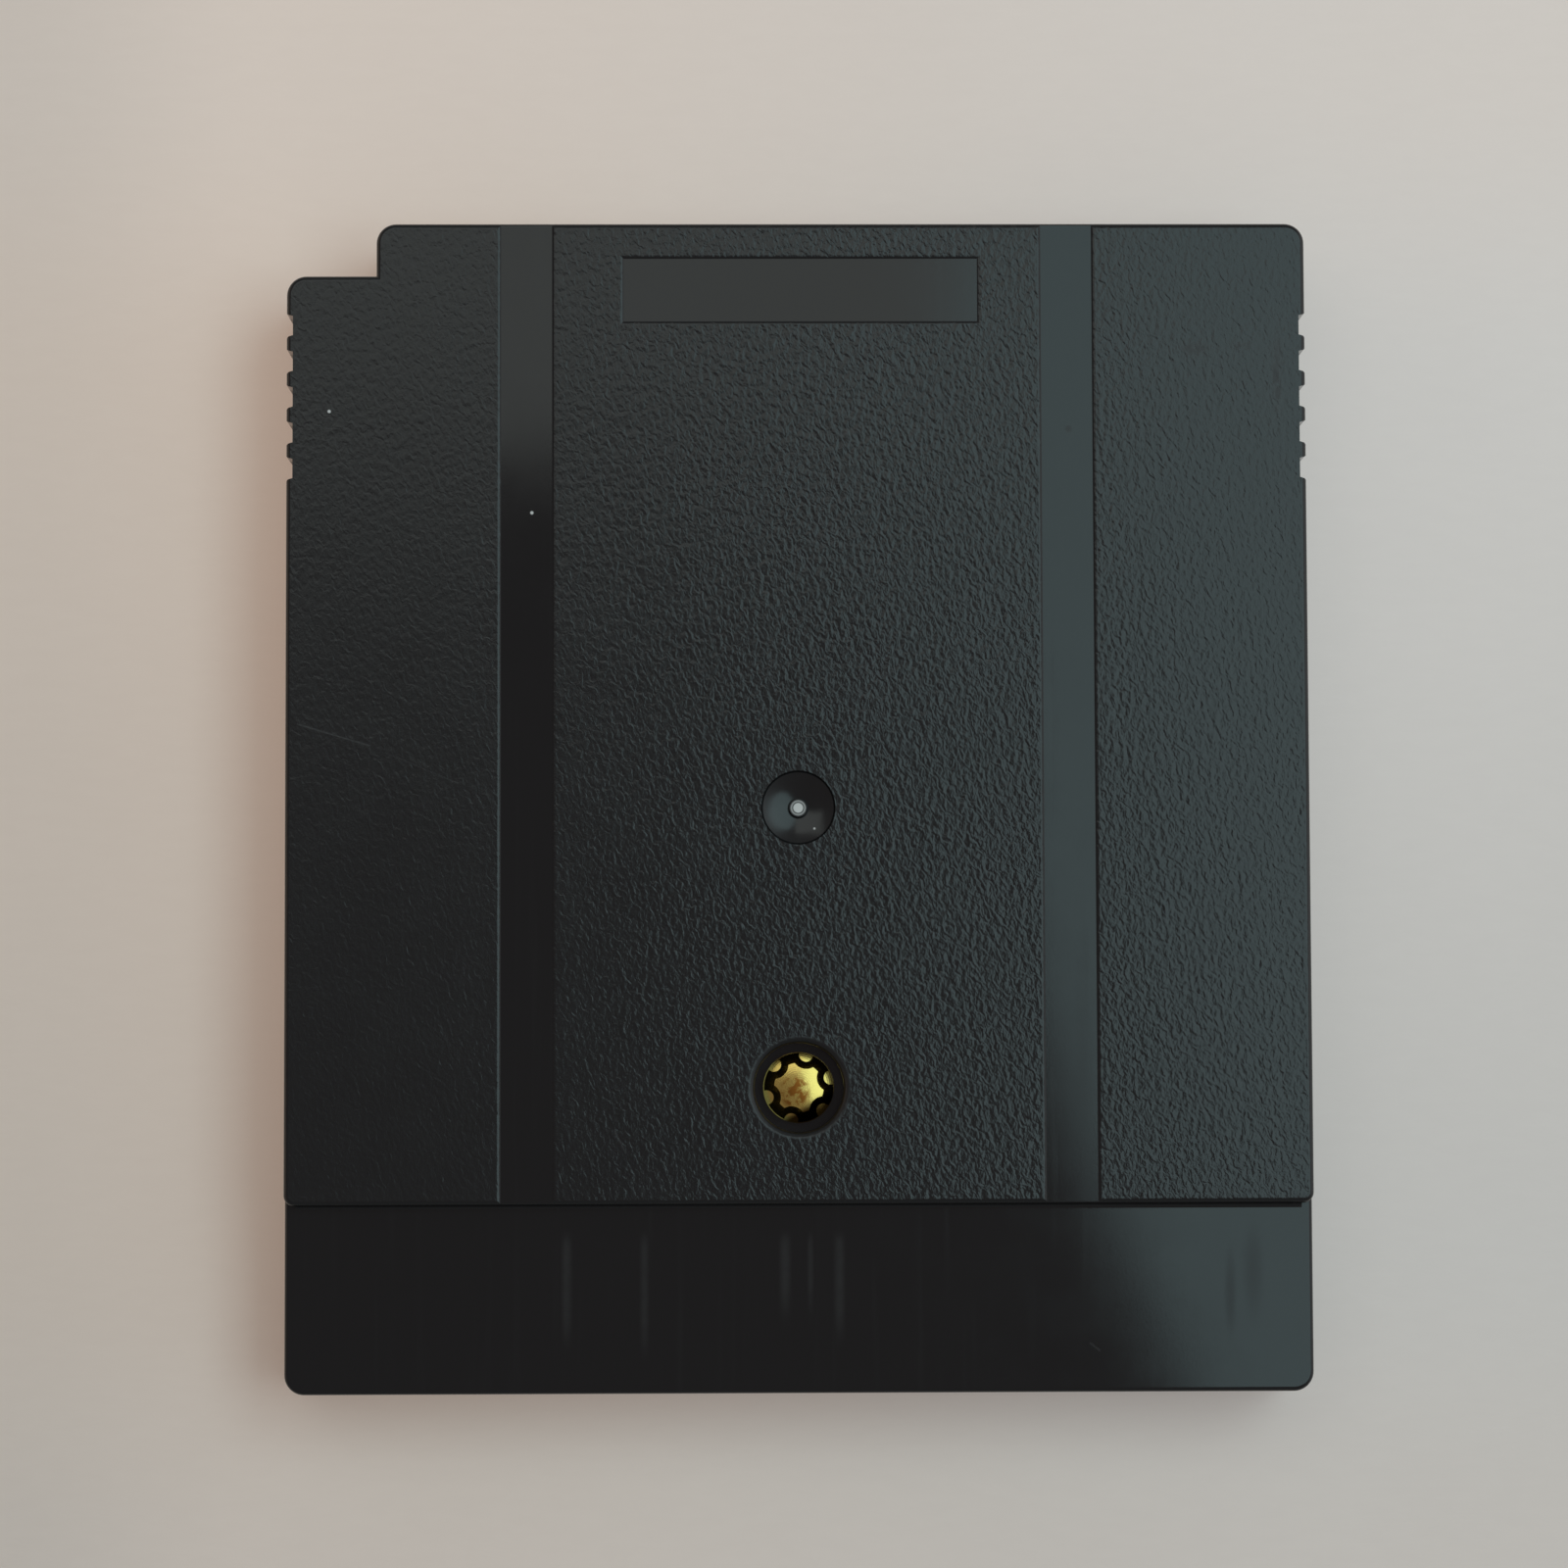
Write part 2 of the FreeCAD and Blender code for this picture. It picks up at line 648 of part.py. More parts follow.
def screw_well(body):
    """Round-edged well for the screw's head, and the hole for its shank."""
    sketch = sketch_on(body, "well_area", "XY_Plane", SHELL_TOP)
    circle(sketch, "0", SCREW_LINE, "sizes.well_diameter / 2")
    cut(body, "well", sketch, "sizes.well_depth")

    def well_mouth(edge, middle):
        return level(edge, SHELL_TOP) and abs(edge.BoundBox.XLength - value("sizes.well_diameter")) < 1e-3

    soften(body, "Fillet", "well_rounding", "sizes.well_rounding", well_mouth)
    sketch = sketch_on(body, "shank_hole_area", "XY_Plane", WELL_FLOOR)
    circle(sketch, "0", SCREW_LINE, "(sizes.shank_diameter + sizes.shank_clearance) / 2")
    cut(body, "shank_hole", sketch, f"{WELL_FLOOR} - {SEAM}")


def moulding_gate(body):
    """Shallow ball-shaped dish with the cut-off moulding gate standing in it."""
    sketch = sketch_on(body, "dish_profile", "XZ_Plane", "sizes.gate_below_middle")
    dish_section(sketch)
    dish = body.newObject("PartDesign::Groove", "gate_dish")
    dish.Profile = sketch
    dish.ReferenceAxis = (sketch, ["V_Axis"])
    dish.Angle = 360
    must_cut(body, dish)
    sketch = sketch_on(body, "pip_area", "XY_Plane", f"{SHELL_TOP} - sizes.dish_depth + sizes.pip_height")
    circle(sketch, "0", "-sizes.gate_below_middle", "sizes.pip_diameter / 2")
    add(body, "gate_pip", sketch, "2 * sizes.pip_height", backwards=True)


def channel_section(sketch, middle):
    """Section across a channel: its floor, an arc up to the panel on each side, and room above."""
    left_side = f"({middle} - sizes.channel_width / 2)"
    right_side = f"({middle} + sizes.channel_width / 2)"
    arc_height = f"({SHELL_TOP} - sizes.smooth_rounding)"
    above = f"({SHELL_TOP} + sizes.overrun)"
    radius = value("sizes.smooth_rounding")
    rim = value(f"sizes.smooth_rounding * sin({SMOOTH_TURN})")
    left = value(left_side)
    right = value(right_side)
    floor_left = FreeCAD.Vector(left + rim, value(SMOOTH_TOP), 0)
    floor_right = FreeCAD.Vector(right - rim, value(SMOOTH_TOP), 0)
    rim_left = FreeCAD.Vector(left, value(SHELL_TOP), 0)
    rim_right = FreeCAD.Vector(right, value(SHELL_TOP), 0)
    high_left = FreeCAD.Vector(left, value(above), 0)
    high_right = FreeCAD.Vector(right, value(above), 0)
    middle_left = FreeCAD.Vector(left, value(arc_height), 0)
    middle_right = FreeCAD.Vector(right, value(arc_height), 0)
    floor = sketch.addGeometry(Part.LineSegment(floor_left, floor_right))
    right_arc = sketch.addGeometry(short_arc(rim_right, floor_right, middle_right))
    right_line = sketch.addGeometry(Part.LineSegment(rim_right, high_right))
    top_line = sketch.addGeometry(Part.LineSegment(high_right, high_left))
    left_line = sketch.addGeometry(Part.LineSegment(high_left, rim_left))
    left_arc = sketch.addGeometry(short_arc(floor_left, rim_left, middle_left))
    joins = [
        (floor, 2, right_arc, 2),
        (right_arc, 1, right_line, 1),
        (right_line, 2, top_line, 1),
        (top_line, 2, left_line, 1),
        (left_line, 2, left_arc, 2),
        (left_arc, 1, floor, 1),
    ]
    for join in joins:
        sketch.addConstraint(Sketcher.Constraint("Coincident", *join))
    for line in (floor, top_line):
        sketch.addConstraint(Sketcher.Constraint("Horizontal", line))
    for line in (right_line, left_line):
        sketch.addConstraint(Sketcher.Constraint("Vertical", line))
    sketch.addConstraint(Sketcher.Constraint("Vertical", right_arc, 3, right_arc, 1))
    sketch.addConstraint(Sketcher.Constraint("Vertical", left_arc, 3, left_arc, 2))
    sketch.addConstraint(Sketcher.Constraint("Equal", right_arc, left_arc))
    bind(sketch, Sketcher.Constraint("Radius", right_arc, radius), "sizes.smooth_rounding")
    pin(sketch, right_arc, 3, right_side, arc_height)
    pin(sketch, left_arc, 3, left_side, arc_height)
    bind(sketch, Sketcher.Constraint("DistanceY", -1, 1, floor, 1, value(SMOOTH_TOP)), SMOOTH_TOP)
    bind(sketch, Sketcher.Constraint("DistanceY", -1, 1, top_line, 1, value(above)), above)


def dish_section(sketch):
    """Half of the section through a ball-shaped dish with a steep rim, closed along its axis."""
    foot_side = "(sizes.dish_diameter / 2 - sizes.dish_lip)"
    foot_height = f"({SHELL_TOP} - sizes.dish_wall)"
    depth = value("sizes.dish_depth")
    high = FreeCAD.Vector(0, value(SHELL_TOP), 0)
    low = high - FreeCAD.Vector(0, depth, 0)
    rim = FreeCAD.Vector(value("sizes.dish_diameter / 2"), value(SHELL_TOP), 0)
    foot = FreeCAD.Vector(value(foot_side), value(foot_height), 0)
    rise = foot.y - low.y
    middle = low + FreeCAD.Vector(0, (foot.x ** 2 + rise ** 2) / (2 * rise), 0)
    ball = sketch.addGeometry(short_arc(low, foot, middle))
    wall = sketch.addGeometry(Part.LineSegment(foot, rim))
    cover = sketch.addGeometry(Part.LineSegment(rim, high))
    axis = sketch.addGeometry(Part.LineSegment(high, low))
    for join in ((ball, 2, wall, 1), (wall, 2, cover, 1), (cover, 2, axis, 1), (axis, 2, ball, 1)):
        sketch.addConstraint(Sketcher.Constraint("Coincident", *join))
    sketch.addConstraint(Sketcher.Constraint("Horizontal", cover))
    sketch.addConstraint(Sketcher.Constraint("Vertical", axis))
    sketch.addConstraint(Sketcher.Constraint("PointOnObject", axis, 1, -2))
    sketch.addConstraint(Sketcher.Constraint("PointOnObject", ball, 3, -2))
    pin(sketch, wall, 1, foot_side, foot_height)
    pin(sketch, wall, 2, "sizes.dish_diameter / 2", SHELL_TOP)
    bind(sketch, Sketcher.Constraint("DistanceY", axis, 2, axis, 1, depth), "sizes.dish_depth")


def build_front_shell():
    """Front half: bare label and name recesses, grip lines, arrow, slot, board rests and screw post."""
    body = new_body("front_shell")
    outer_block(body, "0", SEAM)

    def front_rim(edge, middle):
        return level(edge, "0")

    soften(body, "Chamfer", "front_bevel", "sizes.front_bevel", front_rim)

    def seam_rim(edge, middle):
        return level(edge, SEAM)

    soften(body, "Chamfer", "front_seam", "sizes.seam_chamfer", seam_rim)
    side_grips(body, "0", SEAM)
    front_hollow(body)
    front_supports(body)
    front_face(body)
    return body


def front_hollow(body):
    """Hollow of the front half, with the connector slot and the slots for the rear half's hooks."""
    sketch = sketch_on(body, "front_hollow_area", "XY_Plane", SEAM)
    polygon(sketch, cavity_corners(f"-{CAVITY_END}"))
    cut(body, "front_hollow", sketch, f"{SEAM} - sizes.front_wall")
    sketch = sketch_on(body, "front_slot_area", "XY_Plane", SEAM)
    slot_area(sketch)
    cut(body, "front_slot", sketch, f"{SEAM} - sizes.front_wall")

    sketch = sketch_on(body, "hook_slot_area", "XZ_Plane", f"-({CAVITY_END} - sizes.overrun)")
    low = f"{SEAM} - sizes.hook_drop - sizes.hook_gap"
    high = f"{SEAM} - sizes.hook_drop + sizes.hook_nib_height + sizes.hook_gap"
    half = "(sizes.hook_width / 2 + sizes.hook_gap)"
    for sign in ("-", "+"):
        rectangle(sketch, f"{sign}sizes.hook_offset - {half}", low, f"{sign}sizes.hook_offset + {half}", high)
    cut(body, "hook_slots", sketch, "sizes.overrun + sizes.hook_nib + sizes.hook_gap")


def front_supports(body):
    """Post that takes the screw, and rests under the board."""
    sketch = sketch_on(body, "post_area", "XY_Plane", "sizes.front_wall")
    circle(sketch, "0", SCREW_LINE, POST_RADIUS)
    add(body, "post", sketch, f"{SEAM} - sizes.front_wall")
    sketch = sketch_on(body, "bore_area", "XY_Plane", SEAM)
    circle(sketch, "0", SCREW_LINE, "(sizes.shank_diameter + sizes.bore_clearance) / 2")
    cut(body, "bore", sketch, f"{SEAM} - {SCREW_TIP} + sizes.bore_spare")
    sketch = sketch_on(body, "rest_area", "XY_Plane", "sizes.front_wall")
    rest_x = f"({BOARD_SIDE} - sizes.rest_inset - sizes.rest_thickness / 2)"
    for across in ("-", "+"):
        for along in ("-", "+"):
            rest_y = f"{along}sizes.rest_spacing / 2 + ({BOARD_LOW} + {BOARD_HIGH}) / 2"
            centred(sketch, f"{across}{rest_x}", f"({rest_y})", "sizes.rest_thickness", "sizes.rest_length")
    add(body, "rests", sketch, "sizes.component_room")


def front_face(body):
    """Grip lines, bare name and label recesses, and the arrow that points to the connector."""
    sketch = sketch_on(body, "grip_line_area", "XY_Plane")
    for sign in ("-", "+"):
        middle = f"{sign}({SHELL_SIDE} + sizes.overrun / 2 - sizes.grip_reach / 2)"
        centred(sketch, middle, GRIP_FIRST, "(sizes.grip_reach + sizes.overrun)", "sizes.grip_floor")
    lines = cut(body, "grip_line", sketch, "sizes.grip_depth", along=True)
    repeat(body, "grip_lines", lines, "Y_Axis", GRIP_SPREAD, "sizes.grip_count", True)
    sketch = sketch_on(body, "pill_area", "XY_Plane")
    rounded(sketch, "0", GRIP_MIDDLE, "sizes.pill_length", "sizes.pill_height", "sizes.pill_height * 0.499")
    cut(body, "pill_recess", sketch, "sizes.pill_depth", along=True)
    sketch = sketch_on(body, "label_area", "XY_Plane")
    label_length = "(sizes.shell_length - sizes.label_from_top - sizes.label_from_bottom)"
    label_y = "((sizes.label_from_bottom - sizes.label_from_top) / 2)"
    rounded(sketch, "0", label_y, "sizes.label_width", label_length, "sizes.label_corner")
    cut(body, "label_recess", sketch, "sizes.label_depth", along=True)
    sketch = sketch_on(body, "arrow_area", "XY_Plane")
    foot = f"(sizes.arrow_from_bottom - {SHELL_END})"
    corners = [
        ("0", foot),
        ("sizes.arrow_width / 2", f"{foot} + sizes.arrow_height"),
        ("-sizes.arrow_width / 2", f"{foot} + sizes.arrow_height"),
    ]
    polygon(sketch, corners)
    cut(body, "arrow_recess", sketch, "sizes.arrow_depth", along=True)


def rounded(sketch, x, y, width, height, radius):
    """A rectangle with round corners, given by its middle, sizes and corner radius."""
    left = value(f"{x} - {width} / 2")
    right = value(f"{x} + {width} / 2")
    low = value(f"{y} - {height} / 2")
    high = value(f"{y} + {height} / 2")
    bend = value(radius)
    reach = bend * 0.5 ** 0.5
    corners = [
        (right - bend, low + bend, 1, -1),
        (right - bend, high - bend, 1, 1),
        (left + bend, high - bend, -1, 1),
        (left + bend, low + bend, -1, -1),
    ]
    places = []
    for index, (cx, cy, sx, sy) in enumerate(corners):
        across = FreeCAD.Vector(cx + sx * bend, cy, 0)
        along = FreeCAD.Vector(cx, cy + sy * bend, 0)
        middle = FreeCAD.Vector(cx + sx * reach, cy + sy * reach, 0)
        ends = (along, across) if index % 2 == 0 else (across, along)
        places.append((ends[0], middle, ends[1]))
    for index in range(4):
        sketch.addGeometry(Part.Arc(*places[index]))
        sketch.addGeometry(Part.LineSegment(places[index][2], places[(index + 1) % 4][0]))
    for index in range(4):
        arc = 2 * index
        line = arc + 1
        following = (arc + 2) % 8
        sketch.addConstraint(Sketcher.Constraint("Tangent", arc, 2, line, 1))
        sketch.addConstraint(Sketcher.Constraint("Tangent", line, 2, following, 1))
        sketch.addConstraint(Sketcher.Constraint("Vertical" if index % 2 == 0 else "Horizontal", line))
        if index:
            sketch.addConstraint(Sketcher.Constraint("Equal", 0, arc))
    bind(sketch, Sketcher.Constraint("Radius", 0, bend), radius)
    pin(sketch, 0, 3, f"{x} + {width} / 2 - {radius}", f"{y} - {height} / 2 + {radius}")
    pin(sketch, 4, 3, f"{x} - {width} / 2 + {radius}", f"{y} + {height} / 2 - {radius}")


def build_screw():
    """Security screw: flange, head with round bites in its rim, and shank; its seat is the local origin."""
    body = new_body("security_screw", "0", SCREW_LINE, WELL_FLOOR)
    sketch = sketch_on(body, "flange_area", "XY_Plane")
    circle(sketch, "0", "0", "sizes.flange_diameter / 2")
    add(body, "flange", sketch, "sizes.flange_height")
    sketch = sketch_on(body, "shank_area", "XY_Plane")
    circle(sketch, "0", "0", "sizes.shank_diameter / 2")
    add(body, "shank", sketch, "sizes.shank_length", backwards=True)

    def tip_rim(edge, middle):
        return level(edge, "-sizes.shank_length")

    soften(body, "Chamfer", "tip_bevel", "sizes.tip_chamfer", tip_rim)
    sketch = sketch_on(body, "head_area", "XY_Plane", "sizes.flange_height")
    circle(sketch, "0", "0", "sizes.head_diameter / 2")
    add(body, "head", sketch, "sizes.head_height")
    top = "(sizes.flange_height + sizes.head_height)"

    def head_rim(edge, middle):
        return level(edge, top)

    soften(body, "Chamfer", "head_bevel", "sizes.head_chamfer", head_rim)
    bite_x = "sizes.bite_circle * cos(sizes.bite_turn * 1 deg)"
    bite_y = "sizes.bite_circle * sin(sizes.bite_turn * 1 deg)"
    sketch = sketch_on(body, "bite_area", "XY_Plane", top)
    circle(sketch, bite_x, bite_y, "sizes.bite_radius")
    bite = cut(body, "bite", sketch, "sizes.head_height")
    bevel = body.newObject("PartDesign::SubtractiveCone", "bite_bevel")
    bevel.AttachmentSupport = (plane(body, "XY_Plane"), [""])
    bevel.MapMode = "FlatFace"
    bevel.setExpression("AttachmentOffset.Base.x", bite_x)
    bevel.setExpression("AttachmentOffset.Base.y", bite_y)
    bevel.setExpression("AttachmentOffset.Base.z", f"{top} - sizes.bite_bevel")
    bevel.setExpression("Radius1", "sizes.bite_radius")
    bevel.setExpression("Radius2", "sizes.bite_radius + sizes.bite_bevel")
    bevel.setExpression("Height", "sizes.bite_bevel")
    doc.recompute()
    pattern = body.newObject("PartDesign::PolarPattern", "bites")
    pattern.Originals = [bite, bevel]
    pattern.Axis = (plane(body, "Z_Axis"), [""])
    pattern.Angle = 360
    body.Tip = pattern
    pattern.setExpression("Occurrences", "sizes.bite_count")
    doc.recompute()
    return body


def build_board():
    """Circuit board with shoulders, a tongue, a hole for the boss and two for the pegs."""
    body = new_body("circuit_board", "0", "0", BOARD_FRONT)
    sketch = sketch_on(body, "board_area", "XY_Plane")
    corners = [
        (f"-{BOARD_TONGUE}", BOARD_LOW),
        (BOARD_TONGUE, BOARD_LOW),
        (BOARD_TONGUE, BOARD_SHOULDER),
        (BOARD_SIDE, BOARD_SHOULDER),
        (BOARD_SIDE, BOARD_HIGH),
        (f"-{BOARD_SIDE}", BOARD_HIGH),
        (f"-{BOARD_SIDE}", BOARD_SHOULDER),
        (f"-{BOARD_TONGUE}", BOARD_SHOULDER),
    ]
    polygon(sketch, corners)
    circle(sketch, "0", SCREW_LINE, f"{BOSS_RADIUS} + sizes.peg_clearance")
    for sign in ("-", "+"):
        circle(sketch, f"{sign}{PEG_SIDE}", PEG_LINE, "(sizes.peg_diameter + sizes.peg_clearance) / 2")
    add(body, "board", sketch, "sizes.board_thickness")
    return body


def build_contacts():
    """Row of flat contacts on the front side of the board's tongue."""
    body = new_body("edge_contacts", "0", f"{BOARD_LOW} + sizes.contact_setback", BOARD_FRONT)
    sketch = sketch_on(body, "contact_area", "XY_Plane")
    spread = "((sizes.contact_count - 1) * sizes.contact_pitch)"
    left = f"-{spread} / 2 - sizes.contact_width / 2"
    right = f"-{spread} / 2 + sizes.contact_width / 2"
    rectangle(sketch, left, "0", right, "sizes.contact_length")
    contact = add(body, "contact", sketch, "sizes.contact_thickness", backwards=True)
    repeat(body, "contacts", contact, "X_Axis", spread, "sizes.contact_count")
    return body


def build_chip(name, x, y):
    """One chip: a moulded case with drafted sides, and its leads; the board under it is the local origin."""
    length = f"sizes.{name}_length"
    width = f"sizes.{name}_width"
    height = f"sizes.{name}_height"
    middle = f"(-sizes.chip_standoff - {height} / 2)"
    half = "sizes.lead_thickness / 2"
    case = new_body(f"{name}_chip", x, y, BOARD_FRONT)
    sketch = sketch_on(case, f"{name}_belt_area", "XY_Plane", f"{middle} - {half}")
    centred(sketch, "0", "0", length, width)
    add(case, f"{name}_belt", sketch, "sizes.lead_thickness")
    sketch = sketch_on(case, f"{name}_front_area", "XY_Plane", f"{middle} - {half}")
    centred(sketch, "0", "0", length, width)
    add(case, f"{name}_front", sketch, f"{height} / 2 - {half}", True, "-sizes.chip_draft")
    sketch = sketch_on(case, f"{name}_rear_area", "XY_Plane", f"{middle} + {half}")
    centred(sketch, "0", "0", length, width)
    add(case, f"{name}_rear", sketch, f"{height} / 2 - {half}", False, "-sizes.chip_draft")
    sketch = sketch_on(case, f"{name}_mark_area", "XY_Plane", f"{middle} - {height} / 2")
    mark_x = f"-{length} / 2 + sizes.mark_inset"
    mark_y = f"-{width} / 2 + sizes.mark_inset"
    circle(sketch, mark_x, mark_y, "sizes.mark_diameter / 2")
    cut(case, f"{name}_mark", sketch, "sizes.mark_depth", along=True)

    leads = new_body(f"{name}_leads", x, y, BOARD_FRONT)
    count = f"sizes.{name}_lead_count"
    spread = f"(({count} - 1) * sizes.lead_pitch)"
    sketch = sketch_on(leads, f"{name}_lead_profile", "YZ_Plane", f"-{spread} / 2 - sizes.lead_width / 2")
    side = f"{width} / 2"
    bend = f"{width} / 2 + sizes.lead_shoulder"
    heel = f"sizes.{name}_span / 2 - sizes.lead_foot"
    toe = f"sizes.{name}_span / 2"
    slant = "sizes.lead_thickness"
    corners = [
        (side, f"{middle} - {half}"),
        (f"{bend} + {slant}", f"{middle} - {half}"),
        (f"{heel} + {slant}", "-sizes.lead_thickness"),
        (toe, "-sizes.lead_thickness"),
        (toe, "0"),
        (heel, "0"),
        (bend, f"{middle} + {half}"),
        (side, f"{middle} + {half}"),
    ]
    polygon(sketch, corners)
    polygon(sketch, [(f"-({across})", up) for across, up in corners])
    pair = add(leads, f"{name}_lead_pair", sketch, "sizes.lead_width")
    repeat(leads, f"{name}_lead_rows", pair, "X_Axis", spread, count)
    return [case, leads]


def build_cell():
    """Coin cell lying flat, cap towards the board, with a welded tab on each face."""
    radius = "sizes.cell_diameter / 2"
    cell = new_body("coin_cell", CELL_X, CELL_Y, CELL_REAR)
    sketch = sketch_on(cell, "cell_profile", "XZ_Plane")
    corners = [
        ("0", "-sizes.cell_height"),
        (radius, "-sizes.cell_height"),
        (radius, "-sizes.cell_step"),
        (f"{radius} - sizes.cell_rim", "-sizes.cell_step"),
        (f"{radius} - sizes.cell_rim", "0"),
        ("0", "0"),
    ]
    polygon(sketch, corners)
    can = cell.newObject("PartDesign::Revolution", "can")
    can.Profile = sketch
    can.ReferenceAxis = (sketch, ["V_Axis"])
    can.Angle = 360
    doc.recompute()

    def can_rim(edge, middle):
        return level(edge, "-sizes.cell_height") and edge.BoundBox.XLength > 1e-3

    soften(cell, "Chamfer", "can_bevel", "sizes.cell_bevel", can_rim)

    positive = new_body("cell_tab_positive", CELL_X, CELL_Y, CELL_REAR)
    sketch = sketch_on(positive, "positive_profile", "YZ_Plane", "-sizes.tab_width / 2")
    inner = f"-({radius}) + sizes.tab_overlap"
    riser = f"-({radius}) - sizes.tab_gap"
    outer = f"-({radius}) - sizes.tab_reach"
    corners = [
        (inner, "-sizes.cell_height"),
        (inner, "-sizes.cell_height - sizes.tab_thickness"),
        (f"{riser} - sizes.tab_thickness", "-sizes.cell_height - sizes.tab_thickness"),
        (f"{riser} - sizes.tab_thickness", "0"),
        (outer, "0"),
        (outer, "sizes.tab_thickness"),
        (riser, "sizes.tab_thickness"),
        (riser, "-sizes.cell_height"),
    ]
    polygon(sketch, corners)
    add(positive, "positive_strip", sketch, "sizes.tab_width")

    negative = new_body("cell_tab_negative", CELL_X, CELL_Y, CELL_REAR)
    sketch = sketch_on(negative, "negative_area", "XY_Plane")
    rectangle(
        sketch,
        f"{radius} - sizes.tab_overlap",
        "-sizes.tab_width / 2",
        f"{radius} + sizes.tab_reach",
        "sizes.tab_width / 2",
    )
    add(negative, "negative_strip", sketch, "sizes.tab_thickness")
    return [cell, positive, negative]


def build_passives(places, height, ends_label):
    """Chip capacitors or resistors standing along Y, and the metal ends of all of them as one piece."""
    bodies = []
    for label, (x, y) in places.items():
        body = new_body(label, x, y, BOARD_FRONT)
        sketch = sketch_on(body, f"{label}_area", "XY_Plane")
        centred(sketch, "0", "0", "sizes.passive_width", "(sizes.passive_length - 2 * sizes.passive_end)")
        add(body, f"{label}_block", sketch, height, backwards=True)
        bodies.append(body)
    ends = new_body(ends_label, "0", "0", BOARD_FRONT)
    sketch = sketch_on(ends, f"{ends_label}_area", "XY_Plane")
    offset = "(sizes.passive_length / 2 - sizes.passive_end / 2)"
    for x, y in places.values():
        for sign in ("-", "+"):
            centred(sketch, x, f"{y} {sign} {offset}", "sizes.passive_width", "sizes.passive_end")
    add(ends, f"{ends_label}_blocks", sketch, height, backwards=True)
    return bodies + [ends]


def build_all():
    """Every piece of the cartridge, in the order of the list of nodes."""
    bodies = [build_rear_shell(), build_front_shell(), build_screw(), build_board(), build_contacts()]
    bodies += build_chip("rom", ROM_X, ROM_Y)
    bodies += build_chip("ram", RAM_X, RAM_Y)
    bodies += build_chip("mapper", MAPPER_X, MAPPER_Y)
    bodies += build_chip("reset", "0", RESET_Y)
    bodies += build_cell()
    bodies += build_passives(CAPACITOR_PLACES, "sizes.capacitor_height", "capacitor_ends")
    bodies += build_passives(RESISTOR_PLACES, "sizes.resistor_height", "resistor_ends")
    return bodies


def check(bodies):
    """Stops the build when any object of the document or any finished shape is not sound."""
    doc.recompute()
    for item in doc.Objects:
        if "Invalid" in item.State or "Error" in item.State:
            raise RuntimeError(f"{item.Name} is {item.State}")
    for body in bodies:
        if body.Shape.isNull() or not body.Shape.isValid():
            raise RuntimeError(f"{body.Label} has no sound shape")


pieces = build_all()
check(pieces)
os.makedirs("parts", exist_ok=True)
for piece in pieces:
    piece.Shape.exportStep(f"parts/{piece.Label}.step")
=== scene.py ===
import math

import bpy
from bpy.props import FloatProperty, FloatVectorProperty, PointerProperty
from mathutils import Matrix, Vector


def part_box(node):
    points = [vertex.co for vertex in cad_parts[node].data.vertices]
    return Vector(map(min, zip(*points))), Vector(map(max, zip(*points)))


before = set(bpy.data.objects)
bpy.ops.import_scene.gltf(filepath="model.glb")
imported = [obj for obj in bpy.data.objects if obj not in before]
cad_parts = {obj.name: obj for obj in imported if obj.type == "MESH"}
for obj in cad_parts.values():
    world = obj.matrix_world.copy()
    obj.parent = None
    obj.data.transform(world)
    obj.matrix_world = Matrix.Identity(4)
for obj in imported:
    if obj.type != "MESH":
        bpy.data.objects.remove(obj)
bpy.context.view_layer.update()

bl_info = {
    "name": "Game Cartridge",
    "version": (1, 0, 0),
    "blender": (4, 5, 0),
    "location": "View3D > Sidebar > Cartridge",
    "description": "Finishes, light and camera for a moulded game cartridge",
    "category": "Object",
}

MM = 0.001
REAR_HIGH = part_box("rear_shell")[1]
SCREW_LOW, SCREW_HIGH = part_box("security_screw")

# Heights of the rear face, in millimetres
PANEL_TOP = REAR_HIGH.z / MM
GRAIN_LOW = PANEL_TOP - 0.04
GRAIN_HIGH = PANEL_TOP - 0.005
RIM_LOW = PANEL_TOP - 1.4
RIM_FADE = 0.2
BAND_TOP = PANEL_TOP - 0.9

# Step between panel and band, in millimetres: place along Y, and reach and heights of its foot
STEP = -22.7
FOOT_REACH = (0.7, 0.5)
FOOT_START = (BAND_TOP, BAND_TOP + 0.03)
FOOT_END = (BAND_TOP + 0.4, BAND_TOP + 0.25)

# Moulding gate with its dish and its pip, in millimetres
GATE = (0.0, -0.2)
DISH_RADIUS = 2.2
PIP_RADIUS = 0.5
PIP_CORE = PIP_RADIUS * 0.55
PIP_RING_INNER = PIP_RADIUS * 0.66
PIP_RING_OUTER = PIP_RADIUS * 0.85
PIP_TOP = PANEL_TOP - 0.34
PIP_SPAN = (PIP_TOP - 0.12, PIP_TOP - 0.02)

# Screw and well, in millimetres
SCREW = ((SCREW_LOW.x + SCREW_HIGH.x) / 2 / MM, (SCREW_LOW.y + SCREW_HIGH.y) / 2 / MM)
WELL_RADIUS = 2.85
WELL_WALL = (PANEL_TOP - 1.0, PANEL_TOP - 0.35)
# Brown mottled patch on the flat of the head: middle, half width, half height
BROWN_PATCH = ((SCREW[0] - 0.25, SCREW[1] - 0.25), 1.0, 1.15)
# Painted shade on the head's lower right edge: where it starts and where it is full
PAINTED_SHADE_SPAN = (0.85, 1.35)
TURNED_HEIGHT = 0.0003
MOTTLE_HEIGHT = 0.006

# Screw head: side that painted shade darkens, turned lines in radians per mm, fall of the dome per mm
# squared
PAINTED_SHADE_SIDE = (0.5, -0.86, 0.0)
TURNED_LINES = 55.0
HEAD_DOME = 0.055

# Spans across and along the rear face where its finish changes, in millimetres
LEFT_SPAN = (-23.0, 4.0)
RIGHT_SPAN = (12.0, 27.0)
CORNER_ACROSS = (10.0, 24.0)
CORNER_ALONG = (-8.0, 24.0)

